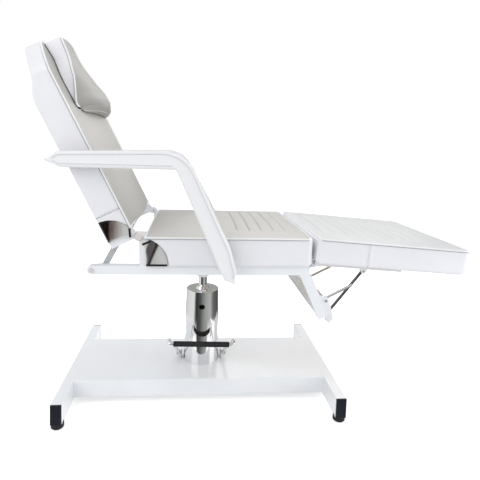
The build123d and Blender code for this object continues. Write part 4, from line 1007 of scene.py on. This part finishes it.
def light_world(scene):
    """White to the camera, an even light on the chair, and the studio's walls in its plated parts."""
    world = bpy.data.worlds.new("Studio")
    scene.world = world
    world.use_nodes = True
    tree = world.node_tree
    tree.nodes.clear()
    rays = node(tree, "ShaderNodeLightPath").outputs
    seen, even, mirrored = [
        node(tree, "ShaderNodeBackground", {"Color": colour_seen, "Strength": strength}).outputs[0]
        for colour_seen, strength in ((WHITE, 1.0), (EVEN_COLOUR, EVEN_LIGHT), (mirrored_room(tree), 1.0))
    ]
    polished = maths(tree, "ADD", rays["Is Glossy Ray"], rays["Is Transmission Ray"], use_clamp=True)
    lit = node(tree, "ShaderNodeMixShader", {0: polished, 1: even, 2: mirrored}).outputs[0]
    whole = node(tree, "ShaderNodeMixShader", {0: rays["Is Camera Ray"], 1: lit, 2: seen}).outputs[0]
    node(tree, "ShaderNodeOutputWorld", {"Surface": whole})


# Each lamp's place, the point that it faces, its size, its power and its colour
LAMPS = {
    "key_lamp": ((-2.3, -2.5, 2.5), (-0.2, 0.0, 0.6), 2.6, 39.0, (1.0, 0.995, 0.98)),
    "fill_lamp": ((2.7, -0.7, 0.9), (-0.3, 0.0, 0.8), 2.0, 36.0, (0.97, 0.985, 1.0)),
    "rear_lamp": ((0.8, 1.9, 2.5), (0.0, 0.0, 0.35), 2.4, 30.0, (1.0, 1.0, 1.0)),
}


def hang_lamps(scene):
    """Three soft square lamps: upper left of the camera, off the foot end, and high behind."""
    for name, (place, target, size, power, tone) in LAMPS.items():
        lamp = bpy.data.lights.new(name, "AREA")
        lamp.shape, lamp.size = "SQUARE", size
        lamp.energy, lamp.color = power, tone
        holder = bpy.data.objects.new(name, lamp)
        holder.location = place
        holder.rotation_euler = (Vector(target) - Vector(place)).to_track_quat("-Z", "Y").to_euler()
        scene.collection.objects.link(holder)


# The photograph's camera, from a fit to the chair's straight lines: its place from the column's foot,
# its turns, its lens and how far the picture is shifted
CAMERA_AT = Vector((-0.0563, -1.7283, 0.952))
CAMERA_YAW, CAMERA_PITCH, CAMERA_ROLL = radians(5.2), radians(4.67), radians(-1.75)
CAMERA_LENS, CAMERA_SENSOR = 33.03, 36.0
CAMERA_SHIFT = (0.01875, -0.1254)


def set_camera(scene):
    """The photograph's camera: close, a little over the armrests, looking slightly down."""
    yaw, pitch, roll = CAMERA_YAW, CAMERA_PITCH, CAMERA_ROLL
    forward = Vector((sin(yaw) * cos(pitch), cos(yaw) * cos(pitch), -sin(pitch)))
    right = Vector((cos(yaw), -sin(yaw), 0))
    down = forward.cross(right)
    turned_right = cos(roll) * right + sin(roll) * down
    turned_down = -sin(roll) * right + cos(roll) * down
    lens = bpy.data.cameras.new("camera")
    lens.lens, lens.sensor_width = CAMERA_LENS, CAMERA_SENSOR
    lens.shift_x, lens.shift_y = CAMERA_SHIFT
    camera = bpy.data.objects.new("camera", lens)
    axes = Matrix((turned_right, -turned_down, -forward)).transposed().to_4x4()
    camera.matrix_world = Matrix.Translation(CAMERA_AT + Vector((COLUMN_X, 0, 0))) @ axes
    scene.collection.objects.link(camera)
    scene.camera = camera


SEAT_REAR, SEAT_FRONT = -0.204, 0.362
SEAT_BASE, SEAT_SEAM = 0.542, 0.639


def seat_half(plan):
    """Half width of the seat, with its front corners rounded."""
    return CUSHION_HALF - rounding(SEAT_FRONT - plan, 0.022)


class CHAIR_OT_seat(ChairOperator, bpy.types.Operator):
    """Upholster the seat: boxed, crowned, arched at the hinge, with sewn channels"""

    bl_idname = "chair.seat"
    bl_label = "Seat cushion"

    def execute(self, context):
        # The seat's top takes the darker top copy of the white leatherette: painted shade
        top = shared_material("Seat leatherette", leather, context.scene.chair_colours.top_leather)
        form = pad_form(
            place=seat_point, body="seat_frame", begin=SEAT_REAR, finish=SEAT_FRONT, half=seat_half,
            low=level(SEAT_BASE + BOARD_GAP), seam=level(SEAT_SEAM),
            crown=faded_crown(0.019, SEAT_REAR, SEAT_FRONT),
            start=arch_start, end=rounded_end(SEAT_FRONT, 0.014, 0.006),
            channels=[0.108 + CHANNEL_PITCH * step for step in range(6)], panel=0.215,
        )
        piece, line, _ = build_pad("seat_cover", form, top)
        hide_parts("seat_cushion")
        pipe_seam("seat_welt", line, form)
        return {"FINISHED"}


LEG_START, LEG_END = 0.001, 0.553
LEG_BASE, LEG_SEAM = 0.021, 0.108


def leg_half(plan):
    """Half width of the leg rest, with its corners rounded, more at the foot end."""
    return CUSHION_HALF - rounding(LEG_END - plan, 0.026) - rounding(plan - LEG_START, 0.012)


class CHAIR_OT_leg_rest(ChairOperator, bpy.types.Operator):
    """Upholster the leg rest: boxed and crowned, with sewn channels along its length"""

    bl_idname = "chair.leg_rest"
    bl_label = "Leg rest cushion"

    def execute(self, context):
        # The leg rest's top takes a darker copy of the white leatherette: painted shade
        top = shared_material("Leg rest leatherette", leather, context.scene.chair_colours.shaded_foot_leather)
        form = pad_form(
            place=leg_point, body="leg_rest", begin=LEG_START, finish=LEG_END, half=leg_half,
            low=level(LEG_BASE + BOARD_GAP), seam=level(LEG_SEAM),
            crown=faded_crown(0.015, LEG_START, LEG_END),
            start=rounded_end(LEG_START, 0.014, 0.008, -1), end=rounded_end(LEG_END, 0.026, 0.004),
            channels=[0.045 + CHANNEL_PITCH * step for step in range(9)], panel=0.225, corner=0.03,
            cross_seams=[0.182], thread=0.0003,
        )
        piece, line, _ = build_pad("leg_rest_cover", form, top)
        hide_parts("leg_rest_cushion")
        pipe_seam("leg_rest_welt", line, form)
        return {"FINISHED"}


BACK_START, BACK_TOP = 0.018, 0.712
BACK_BASE, BACK_THIN_BASE, BACK_SEAM = -0.097, -0.066, -0.008
BACK_THINS = (0.500, 0.612)
SHOULDER_AT, SHOULDER_DRAW, SHOULDER_POWER = 0.590, 0.078, 1.3
back_crown = faded_crown(0.020, BACK_START, BACK_TOP, power=9)


def back_half(plan):
    """Half width of the back: straight, then narrowing at the shoulders to the top."""
    past = ((plan - SHOULDER_AT) / (BACK_TOP - SHOULDER_AT)).clip(0, 1)
    return CUSHION_HALF - SHOULDER_DRAW * past**SHOULDER_POWER - rounding(BACK_TOP - plan, 0.016)


def back_low(plan, across):
    """Rear face of the back, further forward behind the head."""
    base = BACK_BASE + BOARD_GAP
    return base + (BACK_THIN_BASE - base) * ease(*BACK_THINS, plan)


class CHAIR_OT_backrest(ChairOperator, bpy.types.Operator):
    """Upholster the backrest: boxed, thinner behind the head, narrowed at the shoulders"""

    bl_idname = "chair.backrest"
    bl_label = "Backrest cushion"

    def execute(self, context):
        # The backrest's front takes the top colour a little darker: painted shade
        tone = shade(context.scene.chair_colours.top_leather, 0.90)
        top = shared_material("Backrest leatherette", leather, tone)
        form = pad_form(
            place=back_point, body="backrest", begin=BACK_START, finish=BACK_TOP, half=back_half,
            low=back_low, seam=level(BACK_SEAM), crown=back_crown,
            start=arch_back_start, end=rounded_end(BACK_TOP, 0.012, 0.004), cross_seams=[0.113],
        )
        piece, line, _ = build_pad("backrest_cover", form, top)
        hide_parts("backrest_cushion")
        pipe_seam("backrest_welt", line, form)
        return {"FINISHED"}


# Lines of the pillow, each from its heel to its top: places along the back, and half widths or heights
PILLOW_HEEL, PILLOW_TOP = 0.450, 0.704
PILLOW_HALVES = ([0.450, 0.500, 0.560, 0.590, 0.640, 0.704], [0.241, 0.236, 0.240, 0.236, 0.210, 0.199])
PILLOW_FRONT = (
    [0.450, 0.470, 0.512, 0.548, 0.619, 0.650, 0.704],
    [0.064, 0.0695, 0.0680, 0.0600, 0.0480, 0.0440, 0.0430],
)
PILLOW_SEAMS_AT = [0.450, 0.470, 0.495, 0.525, 0.552, 0.610, 0.704]
PILLOW_NEAR_SEAM = [0.006, 0.009, 0.019, 0.031, 0.041, 0.050, 0.053]
PILLOW_FAR_SEAM = [0.006, 0.009, 0.017, 0.022, 0.022, 0.018, 0.016]
PILLOW_SINKS = 0.007
STITCH_RADIUS = 0.0008


def pillow_half(plan):
    """Half width of the pillow, its corners rounded, most at the heel."""
    return (np.interp(plan, *PILLOW_HALVES) - rounding(plan - PILLOW_HEEL, 0.034)
            - rounding(PILLOW_TOP - plan, 0.012))


def pillow_bed(plan, across):
    """The backrest's crowned top under the pillow, a little within it."""
    share = np.abs(across * pillow_half(plan) / back_half(plan))
    return back_crown(plan) * (1 - share**2.4) - PILLOW_SINKS


def pillow_seam(plan, across):
    """Height of the side seams: the near one's on the near side, passing to the far one's."""
    near = np.interp(plan, PILLOW_SEAMS_AT, PILLOW_NEAR_SEAM)
    far = np.interp(plan, PILLOW_SEAMS_AT, PILLOW_FAR_SEAM)
    return near + (far - near) * ease(-1, 1, across)


def pillow_crown(plan):
    """How far the pillow's front stands over the middle of its seams."""
    return np.interp(plan, *PILLOW_FRONT) - pillow_seam(plan, 0)


class CHAIR_OT_pillow(ChairOperator, bpy.types.Operator):
    """Lay the wedge pillow on the backrest, with a dark band of painted shadow along its base"""

    bl_idname = "chair.pillow"
    bl_label = "Head pillow"

    def execute(self, context):
        sizes, colours = context.scene.chair_sizes, context.scene.chair_colours
        # The pillow takes the top colour darkened further: painted shade
        top = shared_material("Pillow leatherette", leather, shade(colours.top_leather, 0.67))
        form = pad_form(
            place=back_point, body="backrest", begin=PILLOW_HEEL, finish=PILLOW_TOP,
            power=2.6, tuck=0.004, draw=0.002,
            half=pillow_half, low=pillow_bed, seam=pillow_seam, crown=pillow_crown,
            start=rounded_end(PILLOW_HEEL, 0.005, 0.016, -1), end=rounded_end(PILLOW_TOP, 0.004, 0.004),
            corner=0.036, wraps=True,
        )
        piece, line, base = build_pad("pillow_cover", form, top, side_count=10, top_count=48)
        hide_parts("headrest_pillow")
        sides_and_top = line[: -form["top_count"]]
        pipe_seam("pillow_welt", sides_and_top, form, closed=False)
        across = slice(form["side_count"] + 3, form["side_count"] + form["top_count"] - 2)
        heel_line = form["grid"][1, across]
        build_welt("pillow_stitch_0", heel_line, STITCH_RADIUS, highlighted_welt_cover(), "backrest", closed=False)
        # A dark band along the pillow's base: painted shadow of the gap between the pillow and the backrest
        band = shared_material("Pillow band", moulded, shade(colours.rubber, 0.5), 0.6)
        build_welt("pillow_band", base, sizes.welt_radius * 1.25, band, "backrest", lift=-0.0004)
        return {"FINISHED"}


# The arm pads' outer and inner lines, forward of the column and over the floor, and their corners' radii
ARM_OUTER = (
    (-0.500, 0.886), (-0.462, 0.916), (-0.076, 0.928), (0.076, 0.618), (0.096, 0.545), (0.090, 0.503),
)
ARM_OUTER_RADII = (0, 0.030, 0.119, 0.150, 0.040, 0)
ARM_OUTER_KNOTS = (0, 0.05, 0.45, 0.85, 0.95, 1)
ARM_INNER = ((-0.500, 0.886), (-0.455, 0.866), (-0.103, 0.866), (0.057, 0.514), (0.090, 0.503))
ARM_INNER_RADII = (0, 0.030, 0.012, 0.010, 0)
ARM_INNER_KNOTS = (0, 0.055, 0.44, 0.955, 1)
ARM_HALF, ARM_ROUND = 0.0245, 0.009
ARM_ROWS, ARM_SECTION = 190, 40
ARM_TIPS = ((0.06, 12), (0.05, 10))  # the share with crowded rows at each tip, and their count
ON_SIDE, ON_TOP = 0.985, 0.72  # how much of a section's turn must point to a side, or up, to be on it
ARM_DRAW = 0.0012
FAR_ARM_MIDDLE = 0.3335
FAR_ARM_TILT = radians(3)
ARM_BOLTS = (0.0775, 0.526)
# Stitches on the arms: distance from an edge, whether that edge is the outer one, and where they end.
# All begin at one share, and their middles stand a little off the sides
ARM_STITCHES = ((0.0125, True, 0.97), (0.0115, False, 0.43))
STITCHES_BEGIN, STITCH_OFF = 0.03, 0.0001


def on_arm(along, y, height, side):
    """Points of an arm pad from the arms' own lines, tilted about its bolts for the far one."""
    x, z = along, height
    if side == "far":
        out, up = along - ARM_BOLTS[0], height - ARM_BOLTS[1]
        x = ARM_BOLTS[0] + out * cos(FAR_ARM_TILT) - up * sin(FAR_ARM_TILT)
        z = ARM_BOLTS[1] + out * sin(FAR_ARM_TILT) + up * cos(FAR_ARM_TILT)
    return np.stack([COLUMN_X + x, y + 0 * x, z], axis=-1)


def arm_pad(name, side, materials):
    """A bent pad: rounded sections between its inner and its outer line, flat at the two tips.

    A section is a rounded box in the width and in the distance from the inner to the outer line. The
    lines of its two edges on one side, and the lines of its stitches, are given back.
    """
    near_first, near_last = [reach * crowded(rows) for reach, rows in ARM_TIPS]
    share = np.unique(np.concatenate([np.linspace(0, 1, ARM_ROWS), near_first, 1 - near_last]).round(5))
    outer = read_line(*rounded_line(ARM_OUTER, ARM_OUTER_RADII), ARM_OUTER_KNOTS, share)
    inner = read_line(*rounded_line(ARM_INNER, ARM_INNER_RADII), ARM_INNER_KNOTS, share)
    gap = np.linalg.norm(outer - inner, axis=1)
    thick = np.maximum(gap[:, None], TINY)
    turn = np.linspace(0, 2 * pi, ARM_SECTION, endpoint=False) + pi / ARM_SECTION
    corner = np.minimum(ARM_ROUND, gap / 2)[:, None]
    y = np.sign(np.cos(turn)) * (ARM_HALF - corner) + np.cos(turn) * corner
    reach = np.sign(np.sin(turn)) * (gap[:, None] / 2 - corner) + np.sin(turn) * corner
    on_side = np.abs(np.cos(turn)) > ON_SIDE
    y = y - np.sign(np.cos(turn)) * ARM_DRAW * on_side * np.cos(pi * reach / thick)
    level_in = (reach / thick + 0.5)[..., None]
    path = inner[:, None] * (1 - level_in) + outer[:, None] * level_in
    low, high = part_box("armrest_pad_" + side)
    middle = (low.y + high.y) / 2 if side == "near" else FAR_ARM_MIDDLE
    points = on_arm(path[..., 0], middle + y, path[..., 1], side)
    index = np.arange(len(share) * ARM_SECTION).reshape(len(share), ARM_SECTION)
    index[0], index[-1] = index[0, 0], index[-1, 0]
    # Faces that point up take the second material: the darker top colour, painted shade on the arm tops
    on_top = np.sin(turn + pi / ARM_SECTION) > ON_TOP
    slots = np.where(np.broadcast_to(on_top, (len(share) - 1, ARM_SECTION)), 1, 0).reshape(-1)
    mesh = sewn_mesh(name, points.reshape(-1, 3), grid_quads(index), slots)
    piece = new_piece(name, mesh, materials, "seat_frame")
    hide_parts("armrest_pad_" + side)
    edges = [points[2:-2, int(np.argmin(np.abs(turn - angle)))] for angle in (3 * pi / 4, pi / 4)]
    stitches = []
    for margin, from_outer, last in ARM_STITCHES:
        part = (1 - margin / gap if from_outer else margin / gap)[:, None]
        run = (inner * (1 - part) + outer * part)[(share > STITCHES_BEGIN) & (share < last)]
        for face in (middle - ARM_HALF - STITCH_OFF, middle + ARM_HALF + STITCH_OFF):
            stitches.append(on_arm(run[:, 0], face, run[:, 1], side))
    return edges, stitches


class CHAIR_OT_arm_pads(ChairOperator, bpy.types.Operator):
    """Cover the two bent arm pads, with piping along their upper edges"""

    bl_idname = "chair.arm_pads"
    bl_label = "Arm pads"

    def execute(self, context):
        sizes, colours = context.scene.chair_sizes, context.scene.chair_colours
        cover = shared_material("Arm leatherette", leather, colours.arm_leather, 0.34, folds=0.3)
        thread = shared_material("Pale thread", leather, (0.66, 0.66, 0.68), 0.6)
        # The arm tops take the darker top colour: painted shade on the same white leatherette
        band = shared_material("Arm top leatherette", leather, colours.top_leather, 0.38)
        for side in ("near", "far"):
            edges, stitches = arm_pad("arm_cover_" + side, side, [cover, band])
            for kind, lines, radius, material in (
                ("stitch", stitches, STITCH_RADIUS, thread), ("welt", edges, sizes.welt_radius * 0.6, cover),
            ):
                for number, line in enumerate(lines):
                    name = f"arm_{kind}_{side}_{number}"
                    build_welt(name, line, radius, material, "seat_frame", closed=False)
        return {"FINISHED"}


# Ends of the hinge covers that get dark strips of painted shade: two points each, away from the hinge line and
# square to it
HORN_ENDS = {
    "seat": (((0.012, -0.024), (0.040, -0.0125)), ((0.026, -0.0925), (0.094, -0.0925))),
    "back": (((0.012, -0.024), (0.040, -0.0125)),),
}
HORN_BODIES = {"seat": "seat_frame", "back": "backrest"}
EDGING_PROUD = 0.35  # how far the edging stands out, as a share of its half width


# The painted reflection on the hinge covers: its tones, and for each cover the bands' lean and where each
# tone stands between the cover's rear end and its front
PALE_BAND, GREY_BAND = (0.90, 0.89, 0.88), (0.20, 0.18, 0.18)
BLACK_BAND, BROWN_BAND = (0.015, 0.011, 0.011), (0.30, 0.23, 0.20)
HORN_REFLECTION_BANDS = {
    "seat": (0.42, ((0.06, PALE_BAND), (0.15, GREY_BAND), (0.36, GREY_BAND), (0.47, BLACK_BAND), (0.56, PALE_BAND))),
    "back": (0.0, ((0.34, BLACK_BAND), (0.44, BROWN_BAND), (0.74, PALE_BAND))),
}


class CHAIR_OT_hinge_edging(ChairOperator, bpy.types.Operator):
    """Plate the arched hinge covers, with painted reflections, and lay dark strips of painted shade on their ends
    """

    bl_idname = "chair.hinge_edging"
    bl_label = "Hinge edging"

    def execute(self, context):
        sizes, colours = context.scene.chair_sizes, context.scene.chair_colours
        # Dark strips on the covers' ends: painted shade where the plates bend back
        black = shared_material("Black edging", moulded, shade(colours.rubber, 0.6), 0.4, bump=0.1)
        for part, edges in HORN_ENDS.items():
            low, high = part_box(part + "_horn_covers")
            plate = shared_material(part + " cover plate", bowed_plate, low, high, *HORN_REFLECTION_BANDS[part])
            dress_node(part + "_horn_covers", plate)
            for side, face in (("near", low.y), ("far", high.y)):
                for number, (first, last) in enumerate(edges):
                    ends = [horn_point(part, *end, face) for end in (first, last)]
                    line = np.linspace(*np.array(ends), 12)
                    points, quads = tube_along(line, sizes.edging_width / 2, False, spacing=0.003, sides=14)
                    points[:, 1] = face + (points[:, 1] - face) * EDGING_PROUD
                    mesh = sewn_mesh("hinge_edging", points, quads, np.zeros(len(quads), int))
                    name = f"{part}_edging_{side}_{number}"
                    new_piece(name, mesh, [black], HORN_BODIES[part])
        return {"FINISHED"}


def horn_point(part, u, v, face):
    """A point on a hinge cover's outer face: u away from the hinge line, v square to it."""
    if part == "seat":
        return (BACK_HINGE.x + u, face, BACK_HINGE.z + v)
    return back_point(u, face, v)


class CHAIR_OT_metal_finishes(ChairOperator, bpy.types.Operator):
    """Paint, plate and mould every other node of the frame by its material slot"""

    bl_idname = "chair.metal_finishes"
    bl_label = "Frame finishes"

    def execute(self, context):
        colours = context.scene.chair_colours
        finishes = {
            "white_paint": shared_material("White gloss paint", paint, colours.paint),
            "grey_paint": shared_material("Grey paint", paint, colours.grey_paint, 0.4, 0.1),
            "chrome": shared_material("Chrome plate", metal, colours.chrome, 0.03),
            "steel": shared_material("Bright steel", metal, (0.62, 0.62, 0.63), 0.24, 0.12, 0.1, 0.2),
            "black_rubber": shared_material("Black rubber", moulded, colours.rubber, 0.55),
            "black_plastic": shared_material("Cap plastic", moulded, colours.cap, 0.38, bump=0.15),
            "board": shared_material("Plywood", boards, (0.62, 0.48, 0.32)),
            "upholstery": side_cover(),
        }
        for name in frame["nodes"]:
            if SLOT_OF[name] not in finishes:
                raise RuntimeError(f"no finish for the material slot of {name}")
            dress_node(name, finishes[SLOT_OF[name]])
        # The hinge pins and rail end bolts are painted pale pinkish grey: a painted reflection standing in for the
        # bright reflections on their metal
        caps = shared_material("Zinc caps", paint, (0.74, 0.69, 0.68), 0.34, 0.2)
        for name in ("hinge_pins", "rail_end_bolts"):
            dress_node(name, caps)
        # The leg struts are chrome rods; their near-black colour is a painted reflection of the shade under the
        # leg rest
        dress_node("leg_struts", shared_material("Smoked steel", metal, (0.17, 0.17, 0.175), 0.22))
        dress_node("strut_clamps", finishes["white_paint"])
        return {"FINISHED"}


class CHAIR_PT_workshop(bpy.types.Panel):
    """Shows the chair's operators, sizes and colours in the sidebar."""

    bl_label = "Chair"
    bl_idname = "CHAIR_PT_workshop"
    bl_space_type = "VIEW_3D"
    bl_region_type = "UI"
    bl_category = "Chair"

    def draw(self, context):
        for operator in OPERATORS:
            self.layout.operator(operator.bl_idname)
        for group in (context.scene.chair_sizes, context.scene.chair_colours):
            for key in group.__annotations__:
                self.layout.prop(group, key)


OPERATORS = (
    CHAIR_OT_stage,
    CHAIR_OT_metal_finishes,
    CHAIR_OT_seat,
    CHAIR_OT_leg_rest,
    CHAIR_OT_backrest,
    CHAIR_OT_pillow,
    CHAIR_OT_arm_pads,
    CHAIR_OT_hinge_edging,
)
CLASSES = (ChairSizes, ChairColours, *OPERATORS, CHAIR_PT_workshop)


def register():
    """Register the classes and hang their values on the scene."""
    for item in CLASSES:
        bpy.utils.register_class(item)
    bpy.types.Scene.chair_sizes = bpy.props.PointerProperty(type=ChairSizes)
    bpy.types.Scene.chair_colours = bpy.props.PointerProperty(type=ChairColours)


def unregister():
    """Take the classes and their values off again."""
    del bpy.types.Scene.chair_colours
    del bpy.types.Scene.chair_sizes
    for item in reversed(CLASSES):
        bpy.utils.unregister_class(item)


def plain(bounds):
    """A box as plain lists of numbers."""
    return [[float(number) for number in corner] for corner in bounds]


def main():
    """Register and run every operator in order."""
    register()
    bpy.ops.chair.stage()
    bpy.ops.chair.metal_finishes()
    bpy.ops.chair.seat()
    bpy.ops.chair.leg_rest()
    bpy.ops.chair.backrest()
    bpy.ops.chair.pillow()
    bpy.ops.chair.arm_pads()
    bpy.ops.chair.hinge_edging()


if __name__ == "__main__":
    main()
